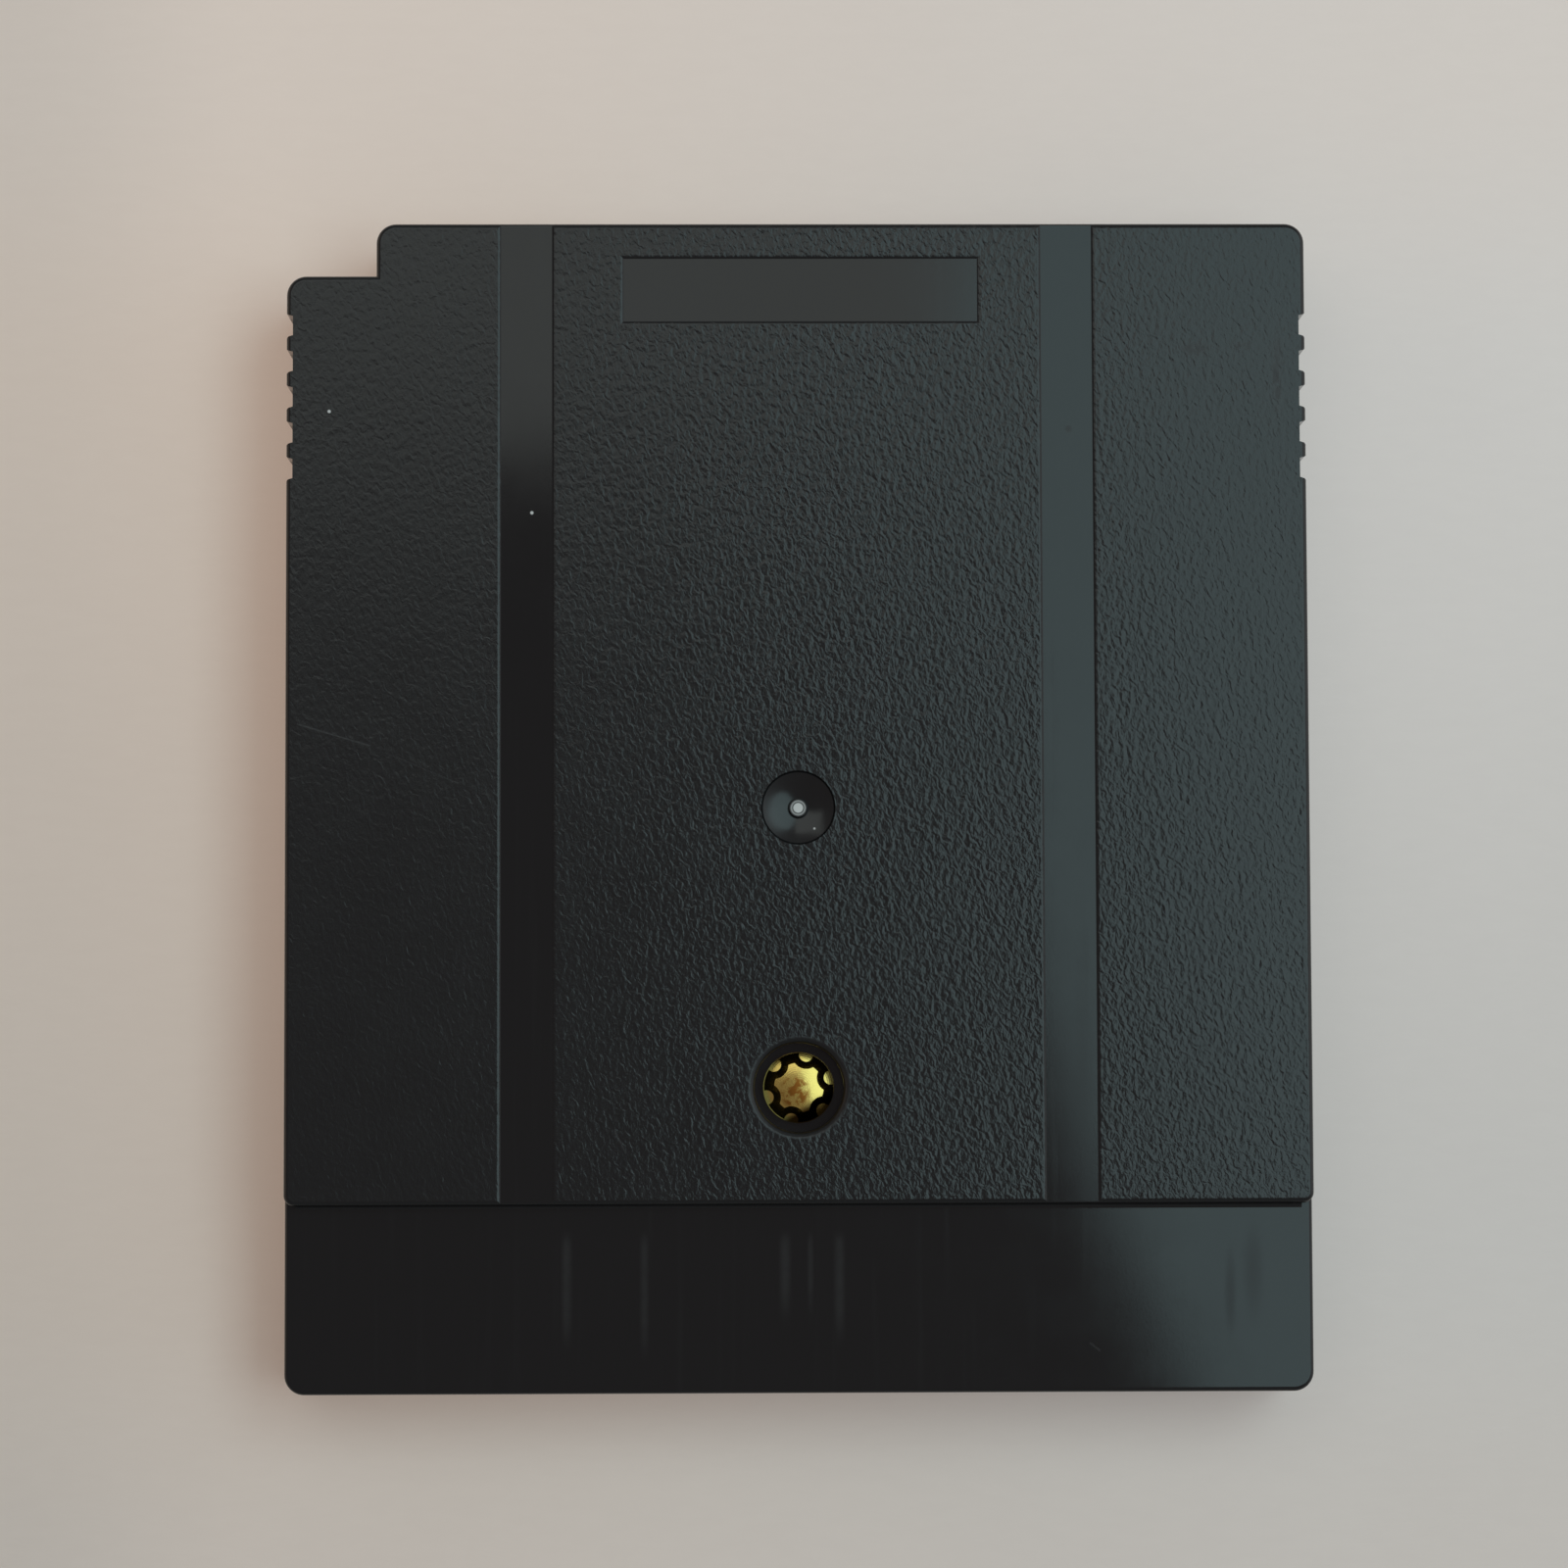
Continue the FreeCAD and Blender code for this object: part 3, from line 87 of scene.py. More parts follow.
# Height of the grain at the left, at the right and in the far right corner, as shares of the full height
LEFT_GRAIN = 0.45
RIGHT_GRAIN = 0.7
CORNER_GRAIN = 0.75

# Fine textures and waves, as shares of the grain's height
FINE_HEIGHT = 0.03
WAVE_HEIGHT = 0.3
FRONT_TEXTURE = 0.35

# Grain: scales of its warp and its ridges for a spacing of 1, and how far the warp moves the ridges
GRAIN_WARP = 0.9
GRAIN_RIDGES = 1.35
GRAIN_DRIFT = (0.5, 0.4, 0.3)

# Parts of a noise, from where a pattern starts to where it is full
WHOLE_NOISE = (0.3, 0.7)
PATCHY_NOISE = (0.3, 0.6)
GRAIN_RANGE = (0.25, 0.75)
RUB_RANGE = (0.52, 0.8)
BLOOM_RANGE = (0.45, 0.8)
BROWN_RANGE = (0.36, 0.56)
WORN_RANGE = (0.35, 0.75)
SPECKLE_RANGE = (0.4, 0.75)

# How far a face looks up, from where it counts as side to where it counts as face
FACING_UP = (0.5, 0.9)
BOARD_FACE = (0.4, 0.6)

# Stretch of patterns along X, Y and Z
RUB_STRETCH = (1.3, 0.04, 0.0)
TRACK_STRETCH = (1.6, 0.5, 0.0)
FIBRE_STRETCH = (1.0, 1.0, 8.0)
FLOOR_STRETCH = (0.5, 1.4, 1.0)

# Strengths of faint patterns, from 0 to 1
RUB_BLOOM = 0.10
FRONT_BLOOM = 0.12
SCUFF_GAPS = 0.8
PIP_RING_STRENGTH = 0.5
FLOOR_CLOUD = 0.6

# What an uneven roughness adds: least, most
CLOUD_SPREAD = (-0.01, 0.01)
FRONT_SPREAD = (-0.03, 0.04)
METAL_SPREAD = (-0.06, 0.1)
MOULDED_SPREAD = (-0.06, 0.06)

# Shades of a colour, as factors, and the pale speckle of moulded bodies
EDGE_SHADE = 0.6
METAL_SHADE = 0.72
FLOOR_SHADE = 0.955
NEAR_END_SHADE = 0.25
FAR_END_SHADE = 0.3
SPECKLE_GAIN = 1.5
SPECKLE_LIFT = 0.004

# Waves that give the board's tracks: radians that they run through, and where each turns to copper
TRACK_WAVES = 70.0
TRACK_RANGE = (0.15, 0.35)

# Heights of fine textures, in metres
TRACK_HEIGHT = 0.03 * MM
BRUSH_HEIGHT = 0.006 * MM
SPECKLE_HEIGHT = 0.01 * MM
FLOOR_TEXTURE = 0.02 * MM

# Height that keeps the floor clear of the front face, in metres
FLOOR_DROP = 0.02 * MM

# Spans of the floor where its lift changes, in millimetres, and the lift's shares there: the lift paints
# warm shade beside the object's left side and cool light beside its right, and paints the floor brighter
# towards the far end and darker at the far left
TINT_ACROSS = (-32.0, 32.0)
TINT_ALONG = (44.0, 24.0)
TINT_AT_ENDS = 0.4
LIFT_ALONG = (-45.0, 45.0)
LIFT_RANGE = (0.70, 1.06)
LIFT_LEFT = (-46.0, -30.0)
LIFT_AT_LEFT = 0.76

# Directions in the room where its brightness changes, as parts of a unit vector
ROOM_SIDES = (-0.6, 0.6)
ROOM_NEAR_END = (-0.8, 0.2)
ROOM_FAR_END = (0.35, 0.75)
ROOM_LEFT = (0.0, -0.5)
ROOM_LEFT_RISE = 0.4
ROOM_OVERHEAD = (0.92, 0.55)

# Width of the camera's sensor, in millimetres
SENSOR_WIDTH = 36.0

# Lengths over which a scuff fades in and out, in millimetres
SCUFF_START = 3.0
SCUFF_END = 1.2

# Scuffs along Y on the band: across, from, to, half width, strength
BAND_SCUFFS = (
    (-12.9, -30.6, -23.4, 0.42, 0.6),
    (-8.6, -31.2, -23.4, 0.36, 0.5),
    (-0.8, -29.2, -23.4, 0.45, 0.6),
    (0.6, -29.0, -23.4, 0.26, 0.5),
    (2.2, -30.4, -23.4, 0.42, 0.6),
)

# Smears that dull the gloss: middle, half width, half height
SMEARS = (
    ((22.3, 25.5), 1.1, 0.5),
    ((24.9, 25.6), 0.7, 0.45),
    ((26.9, 24.0), 0.35, 3.0),
    ((15.2, 21.0), 0.28, 0.28),
)

# Soft dull marks on the band: middle, half width, half height
DULL_MARKS = (
    ((23.9, -27.0), 0.45, 3.2),
    ((25.2, -25.8), 0.9, 4.0),
)

# Scratches on the rear face: first end, second end, half width, strength
SCRATCHES = (
    ((-27.8, 4.5), (-23.8, 3.3), 0.08, 1.0),
    ((-22.9, 2.9), (-18.9, 1.2), 0.06, 0.45),
    ((-23.8, 2.0), (-23.7, 12.0), 0.05, 0.2),
    ((-20.4, -6.0), (-18.2, -9.0), 0.05, 0.2),
    ((-10.2, -18.1), (-9.6, -19.3), 0.07, 0.9),
    ((16.1, -29.9), (16.6, -30.3), 0.1, 0.7),
)

# Pale dust spots on the rear face, and one painted highlight in the dish by the gate: place and radius
SPECKS_AND_HIGHLIGHT = (
    ((-26.1, 22.0), 0.09),
    ((-14.8, 16.3), 0.09),
    # Painted highlight: a small pale spot in the gate's dish that stands in for a glint
    ((0.9, -1.35), 0.06),
)


class HousingSettings(bpy.types.PropertyGroup):
    """Sizes, colours and roughness of the moulded housing."""

    plastic: FloatVectorProperty(
        name="Plastic", description="Colour of the moulded plastic",
        subtype="COLOR", size=3, min=0.0, max=1.0, default=(0.0085, 0.0085, 0.0088))
    bloom: FloatVectorProperty(
        name="Bloom", description="Colour of scuffed plastic",
        subtype="COLOR", size=3, min=0.0, max=1.0, default=(0.045, 0.046, 0.046))
    # This colour also paints the highlight in the gate's dish
    speck_and_highlight: FloatVectorProperty(
        name="Speck_and_highlight", description="Colour of dust specks and of the cut gate",
        subtype="COLOR", size=3, min=0.0, max=1.0, default=(0.62, 0.62, 0.60))
    grain_spacing: FloatProperty(
        name="Grain spacing", description="Distance between the ridges of the panel's grain",
        subtype="DISTANCE", unit="LENGTH", default=0.36 * MM)
    grain_height: FloatProperty(
        name="Grain height", description="Height of the panel's grain from pit to ridge",
        subtype="DISTANCE", unit="LENGTH", default=0.019 * MM)
    grain_lean: FloatProperty(
        name="Grain lean", description="How far the wrinkles of the grain lean from the long side",
        subtype="ANGLE", unit="ROTATION", default=math.radians(22.0))
    grain_stretch: FloatProperty(
        name="Grain stretch", description="How many times longer than wide the wrinkles of the grain are",
        min=1.0, default=1.55)
    panel_roughness: FloatProperty(
        name="Panel roughness", description="Roughness of the grained panel",
        subtype="FACTOR", min=0.0, max=1.0, default=0.165)
    smooth_roughness: FloatProperty(
        name="Smooth roughness", description="Roughness of the band, the channels and the plate",
        subtype="FACTOR", min=0.0, max=1.0, default=0.07)
    rim_roughness: FloatProperty(
        name="Rim roughness", description="Roughness of the rounded edges of the rear face",
        subtype="FACTOR", min=0.0, max=1.0, default=0.15)
    side_roughness: FloatProperty(
        name="Side roughness", description="Roughness of the sides and of the front face",
        subtype="FACTOR", min=0.0, max=1.0, default=0.32)
    haze: FloatProperty(
        name="Haze", description="Roughness that the left of the panel has besides the panel's",
        subtype="FACTOR", min=0.0, max=1.0, default=0.045)
    dish_roughness: FloatProperty(
        name="Dish roughness", description="Roughness of the dish round the gate",
        subtype="FACTOR", min=0.0, max=1.0, default=0.18)
    well_low_roughness: FloatProperty(
        name="Well roughness, low", description="Roughness deep in the screw well",
        subtype="FACTOR", min=0.0, max=1.0, default=0.08)
    well_high_roughness: FloatProperty(
        name="Well roughness, high", description="Roughness at the mouth of the screw well",
        subtype="FACTOR", min=0.0, max=1.0, default=0.34)
    foot_roughness: FloatProperty(
        name="Foot roughness", description="Roughness of the concave foot of the step",
        subtype="FACTOR", min=0.0, max=1.0, default=0.45)
    speck_and_highlight_roughness: FloatProperty(
        name="Speck roughness", description="Roughness of dust specks and of the cut gate",
        subtype="FACTOR", min=0.0, max=1.0, default=0.6)
    rub_roughness: FloatProperty(
        name="Rub roughness", description="Roughness that rubbing adds to smooth faces",
        subtype="FACTOR", min=0.0, max=1.0, default=0.04)
    smear_roughness: FloatProperty(
        name="Smear roughness", description="Roughness that smears add",
        subtype="FACTOR", min=0.0, max=1.0, default=0.30)
    mark_roughness: FloatProperty(
        name="Mark roughness", description="Roughness that soft dull marks add",
        subtype="FACTOR", min=0.0, max=1.0, default=0.13)
    bloom_strength: FloatProperty(
        name="Bloom strength", description="How far scuffs change the colour",
        subtype="FACTOR", min=0.0, max=1.0, default=0.65)
    refraction: FloatProperty(
        name="Refraction", description="Index of refraction of the plastic",
        min=1.0, default=1.5)


class ScrewSettings(bpy.types.PropertyGroup):
    """Colours and roughness of the plated screw."""

    plating: FloatVectorProperty(
        name="Plating", description="Colour of the bright plating",
        subtype="COLOR", size=3, min=0.0, max=1.0, default=(0.80, 0.58, 0.16))
    brown_patch: FloatVectorProperty(
        name="Brown_patch", description="Colour of the brownish patches",
        subtype="COLOR", size=3, min=0.0, max=1.0, default=(0.27, 0.10, 0.018))
    # Painted shade: darkens the lower right edge of the head, where it looks dark from how light falls
    painted_shade: FloatVectorProperty(
        name="Painted_shade", description="Colour of the dark edge of the head",
        subtype="COLOR", size=3, min=0.0, max=1.0, default=(0.06, 0.032, 0.008))
    roughness: FloatProperty(
        name="Roughness", description="Roughness of the plating",
        subtype="FACTOR", min=0.0, max=1.0, default=0.18)
    brown_patch_roughness: FloatProperty(
        name="Tarnish roughness", description="Roughness that tarnish adds",
        subtype="FACTOR", min=0.0, max=1.0, default=0.15)


class BoardSettings(bpy.types.PropertyGroup):
    """Colours of the circuit board and of what stands on it, and the board's roughness."""

    mask: FloatVectorProperty(
        name="Solder mask", description="Colour of the board's coating",
        subtype="COLOR", size=3, min=0.0, max=1.0, default=(0.012, 0.115, 0.042))
    track: FloatVectorProperty(
        name="Tracks", description="Colour of the coating over copper tracks",
        subtype="COLOR", size=3, min=0.0, max=1.0, default=(0.03, 0.20, 0.075))
    edge: FloatVectorProperty(
        name="Board edge", description="Colour of the cut edge of the board",
        subtype="COLOR", size=3, min=0.0, max=1.0, default=(0.42, 0.34, 0.17))
    gold: FloatVectorProperty(
        name="Contacts", description="Colour of the plated contacts",
        subtype="COLOR", size=3, min=0.0, max=1.0, default=(0.86, 0.62, 0.24))
    chip_case: FloatVectorProperty(
        name="Chip case", description="Colour of the moulded chip cases",
        subtype="COLOR", size=3, min=0.0, max=1.0, default=(0.018, 0.018, 0.019))
    tin: FloatVectorProperty(
        name="Tinned metal", description="Colour of leads, tabs and metal ends",
        subtype="COLOR", size=3, min=0.0, max=1.0, default=(0.62, 0.62, 0.60))
    cell: FloatVectorProperty(
        name="Coin cell", description="Colour of the coin cell's steel can",
        subtype="COLOR", size=3, min=0.0, max=1.0, default=(0.66, 0.66, 0.65))
    ceramic: FloatVectorProperty(
        name="Capacitors", description="Colour of the capacitors' ceramic",
        subtype="COLOR", size=3, min=0.0, max=1.0, default=(0.46, 0.33, 0.20))
    resistor: FloatVectorProperty(
        name="Resistors", description="Colour of the resistors' coating",
        subtype="COLOR", size=3, min=0.0, max=1.0, default=(0.022, 0.022, 0.025))
    mask_roughness: FloatProperty(
        name="Mask roughness", description="Roughness of the board's coating",
        subtype="FACTOR", min=0.0, max=1.0, default=0.28)
    edge_roughness: FloatProperty(
        name="Edge roughness", description="Roughness of the cut edge of the board",
        subtype="FACTOR", min=0.0, max=1.0, default=0.75)


class StageSettings(bpy.types.PropertyGroup):
    """Floor, light and camera."""

    floor: FloatVectorProperty(
        name="Floor", description="Colour of the floor",
        subtype="COLOR", size=3, min=0.0, max=1.0, default=(0.57, 0.53, 0.49))
    # Warm and cool lift: painted shade and painted light on the floor beside the object
    warm_lift: FloatVectorProperty(
        name="Warm lift", description="Brightness that the floor on the left has besides what it reflects",
        subtype="COLOR", size=3, min=0.0, max=1.0, default=(0.286, 0.200, 0.150))
    cool_lift: FloatVectorProperty(
        name="Cool lift", description="Brightness that the floor on the right has besides what it reflects",
        subtype="COLOR", size=3, min=0.0, max=1.0, default=(0.238, 0.219, 0.214))
    floor_size: FloatProperty(
        name="Floor size", description="Side of the square floor",
        subtype="DISTANCE", unit="LENGTH", default=3.0)
    floor_roughness: FloatProperty(
        name="Floor roughness", description="Roughness of the floor",
        subtype="FACTOR", min=0.0, max=1.0, default=0.75)
    floor_specular: FloatProperty(
        name="Floor sheen", description="How much the floor reflects",
        subtype="FACTOR", min=0.0, max=1.0, default=0.25)
    light_height: FloatProperty(
        name="Light height", description="Height of the soft lights above the panel",
        subtype="DISTANCE", unit="LENGTH", default=0.6)
    side_place: FloatVectorProperty(
        name="Side light place", description="Middle of the side light, seen from above",
        subtype="XYZ", unit="LENGTH", size=2, default=(0.292, 0.110))
    side_size: FloatVectorProperty(
        name="Side light size", description="Width and length of the side light",
        subtype="XYZ", unit="LENGTH", size=2, default=(0.50, 0.66))
    window_place: FloatVectorProperty(
        name="Window place", description="Middle of the window light, seen from above",
        subtype="XYZ", unit="LENGTH", size=2, default=(0.305, 0.10))
    window_size: FloatVectorProperty(
        name="Window size", description="Width and length of the window light",
        subtype="XYZ", unit="LENGTH", size=2, default=(0.29, 0.52))
    end_place: FloatVectorProperty(
        name="End light place", description="Middle of the end light, seen from above",
        subtype="XYZ", unit="LENGTH", size=2, default=(-0.17, 0.303))
    end_size: FloatVectorProperty(
        name="End light size", description="Width and length of the end light",
        subtype="XYZ", unit="LENGTH", size=2, default=(0.46, 0.40))
    side_light: FloatVectorProperty(
        name="Side light", description="Brightness of the soft light on the right",
        subtype="COLOR", size=3, min=0.0, default=(0.85, 1.22, 1.27))
    window_light: FloatVectorProperty(
        name="Window light", description="Brightness that the window adds to the soft light on the right",
        subtype="COLOR", size=3, min=0.0, default=(1.75, 2.11, 2.23))
    end_light: FloatVectorProperty(
        name="End light", description="Brightness of the soft light at the grip end",
        subtype="COLOR", size=3, min=0.0, default=(0.71, 0.785, 0.755))
    zenith: FloatVectorProperty(
        name="Zenith", description="Brightness of the room overhead",
        subtype="COLOR", size=3, min=0.0, default=(0.190, 0.166, 0.166))
    cool_side: FloatVectorProperty(
        name="Cool side", description="Brightness of the room on the right",
        subtype="COLOR", size=3, min=0.0, default=(0.72, 0.74, 0.75))
    warm_side: FloatVectorProperty(
        name="Warm side", description="Brightness of the room on the left",
        subtype="COLOR", size=3, min=0.0, default=(0.80, 0.62, 0.48))
    lens: FloatProperty(
        name="Lens", description="Focal length of the camera, in millimetres",
        min=1.0, default=100.27)
    camera_place: FloatVectorProperty(
        name="Camera place", description="Where the camera stands",
        subtype="XYZ", unit="LENGTH", size=3, default=(-4.49 * MM, -14.40 * MM, 250.0 * MM))
    camera_turn: FloatVectorProperty(
        name="Camera turn", description="How the camera is turned",
        subtype="EULER", unit="ROTATION", size=3,
        default=(math.radians(3.667), math.radians(-0.863), math.radians(-0.191)))


def shade(colour, factor):
    """A colour made darker by a factor."""
    return [channel * factor for channel in colour]


class Nodes:
    """A node tree under construction, with short calls for the nodes that it needs."""

    def __init__(self, tree):
        self.tree = tree

    def put(self, socket, value):
        """Links a socket to another, or sets it to a plain value."""
        if isinstance(value, bpy.types.NodeSocket):
            self.tree.links.new(value, socket)
        elif socket.type == "RGBA" and len(value) == 3:
            socket.default_value = (*value, 1.0)
        else:
            socket.default_value = value

    def math(self, operation, first, second=0.0):
        """A function of one or two numbers."""
        node = self.tree.nodes.new("ShaderNodeMath")
        node.operation = operation
        self.put(node.inputs[0], first)
        self.put(node.inputs[1], second)
        return node.outputs[0]

    def chain(self, operation, values):
        """One operation over several numbers, from the first to the last."""
        result = values[0]
        for value in values[1:]:
            result = self.math(operation, result, value)
        return result

    def plus(self, *values):
        """The sum of several numbers."""
        return self.chain("ADD", values)

    def times(self, *values):
        """The product of several numbers."""
        return self.chain("MULTIPLY", values)

    def largest(self, *values):
        """The largest of several numbers."""
        return self.chain("MAXIMUM", values)

    def vector(self, operation, first, second=(0.0, 0.0, 0.0), scale=None):
        """A function of one or two vectors."""
        node = self.tree.nodes.new("ShaderNodeVectorMath")
        node.operation = operation
        self.put(node.inputs[0], first)
        self.put(node.inputs[1], second)
        if scale is not None:
            self.put(node.inputs["Scale"], scale)
        name = "Value" if operation in ("LENGTH", "DISTANCE", "DOT_PRODUCT") else "Vector"
        return node.outputs[name]

    def parts(self, vector):
        """The three numbers of a vector."""
        node = self.tree.nodes.new("ShaderNodeSeparateXYZ")
        self.put(node.inputs[0], vector)
        return node.outputs

    def ramp(self, value, low, high, to_low=0.0, to_high=1.0, smooth=True):
        """Carries a range of a number over to another range, held at its ends."""
        node = self.tree.nodes.new("ShaderNodeMapRange")
        node.interpolation_type = "SMOOTHSTEP" if smooth else "LINEAR"
        node.clamp = True
        for socket, given in zip(node.inputs[:5], (value, low, high, to_low, to_high)):
            self.put(socket, given)
        return node.outputs[0]

    def tint(self, factor, first, second):
        """A colour between two others."""
        node = self.tree.nodes.new("ShaderNodeMix")
        node.data_type = "RGBA"
        self.put(node.inputs[0], factor)
        self.put(node.inputs[6], first)
        self.put(node.inputs[7], second)
        return node.outputs[2]

    def between(self, factor, first, second):
        """A number between two others."""
        node = self.tree.nodes.new("ShaderNodeMix")
        node.data_type = "FLOAT"
        self.put(node.inputs[0], factor)
        self.put(node.inputs[2], first)
        self.put(node.inputs[3], second)
        return node.outputs[0]


class Finish(Nodes):
    """A material under construction, with its patterns placed in millimetres."""

    def __init__(self, name):
        self.material = bpy.data.materials.new(name)
        self.material.use_nodes = True
        super().__init__(self.material.node_tree)
        self.tree.nodes.clear()
        self.output = self.tree.nodes.new("ShaderNodeOutputMaterial")
        self.shader = self.tree.nodes.new("ShaderNodeBsdfPrincipled")
        self.put(self.output.inputs["Surface"], self.shader.outputs["BSDF"])
        coordinates = self.tree.nodes.new("ShaderNodeTexCoord")
        self.place = self.vector("SCALE", coordinates.outputs["Object"], scale=1 / MM)
        self.x, self.y, self.z = self.parts(self.place)

    def set(self, name, value):
        """Gives one of the shader's inputs its value."""
        self.put(self.shader.inputs[name], value)

    def noise(self, scale, detail=2.0, roughness=0.5, place=None):
        """Cloudy noise from 0 to 1, with its scale given per millimetre."""
        node = self.tree.nodes.new("ShaderNodeTexNoise")
        self.put(node.inputs["Vector"], self.place if place is None else place)
        self.put(node.inputs["Scale"], scale)
        self.put(node.inputs["Detail"], detail)
        self.put(node.inputs["Roughness"], roughness)
        return node.outputs[0]

    def uneven(self, noise, roughness, spread):
        """A roughness that varies with a noise, by the least and the most that the spread gives."""
        return self.ramp(noise, *WHOLE_NOISE, roughness + spread[0], roughness + spread[1])

    def bump(self, height, distance):
        """A surface normal raised by a height between 0 and 1."""
        node = self.tree.nodes.new("ShaderNodeBump")
        self.put(node.inputs["Distance"], distance)
        self.put(node.inputs["Height"], height)
        return node.outputs[0]

    def stretched(self, x, y, z):
        """Place stretched by three factors, for streaks and brushed metal."""
        return self.vector("MULTIPLY", self.place, (x, y, z))

    def flat(self):
        """Place with its height left out."""
        return self.stretched(1.0, 1.0, 0.0)

    def drawn_out(self, lean, stretch):
        """Flat place for a pattern that is drawn out along a line leaning from Y."""
        node = self.tree.nodes.new("ShaderNodeMapping")
        node.vector_type = "TEXTURE"
        self.put(node.inputs["Vector"], self.flat())
        self.put(node.inputs["Rotation"], (0.0, 0.0, lean))
        self.put(node.inputs["Scale"], (1.0, stretch, 1.0))
        return node.outputs[0]

    def facing_up(self):
        """How far the surface faces up, from -1 to 1."""
        geometry = self.tree.nodes.new("ShaderNodeNewGeometry")
        return self.parts(geometry.outputs["True Normal"])[2]

    def offset(self, place):
        """The way from a point of the rear face, seen from above."""
        return self.vector("SUBTRACT", self.flat(), (*place, 0.0))

    def near(self, place, radius, softness=0.35):
        """1 within a radius of a point of the rear face, falling to 0 around it."""
        distance = self.vector("LENGTH", self.offset(place))
        return self.ramp(distance, radius * (1 + softness), radius * (1 - softness))

    def oval(self, middle, half_width, half_height, core=0.6):
        """1 in the core of an oval on the rear face, falling to 0 at its edge."""
        shrunk = self.vector("MULTIPLY", self.offset(middle), (1 / half_width, 1 / half_height, 0.0))
        return self.ramp(self.vector("LENGTH", shrunk), 1.0, core)

    def streak(self, across, low, high, half_width):
        """A soft line along Y."""
        aside = self.math("ABSOLUTE", self.math("SUBTRACT", self.x, across))
        side = self.ramp(aside, half_width, 0.0)
        start = self.ramp(self.y, low, low + SCUFF_START)
        end = self.ramp(self.y, high, high - SCUFF_END)
        return self.times(side, start, end)

    def scratch(self, first, second, half_width):
        """A soft line between two points of the rear face."""
        run = (second[0] - first[0], second[1] - first[1], 0.0)
        squared = run[0] ** 2 + run[1] ** 2
        start = self.offset(first)
        share = self.math("DIVIDE", self.vector("DOT_PRODUCT", start, run), squared)
        held = self.ramp(share, 0.0, 1.0, smooth=False)
        foot = self.vector("SCALE", run, scale=held)
        return self.ramp(self.vector("DISTANCE", start, foot), half_width, 0.0)

    def onto(self, *names):
        """Gives the material to CAD nodes."""
        for name in names:
            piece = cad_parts[name]
            for slot in piece.material_slots:
                slot.material = self.material


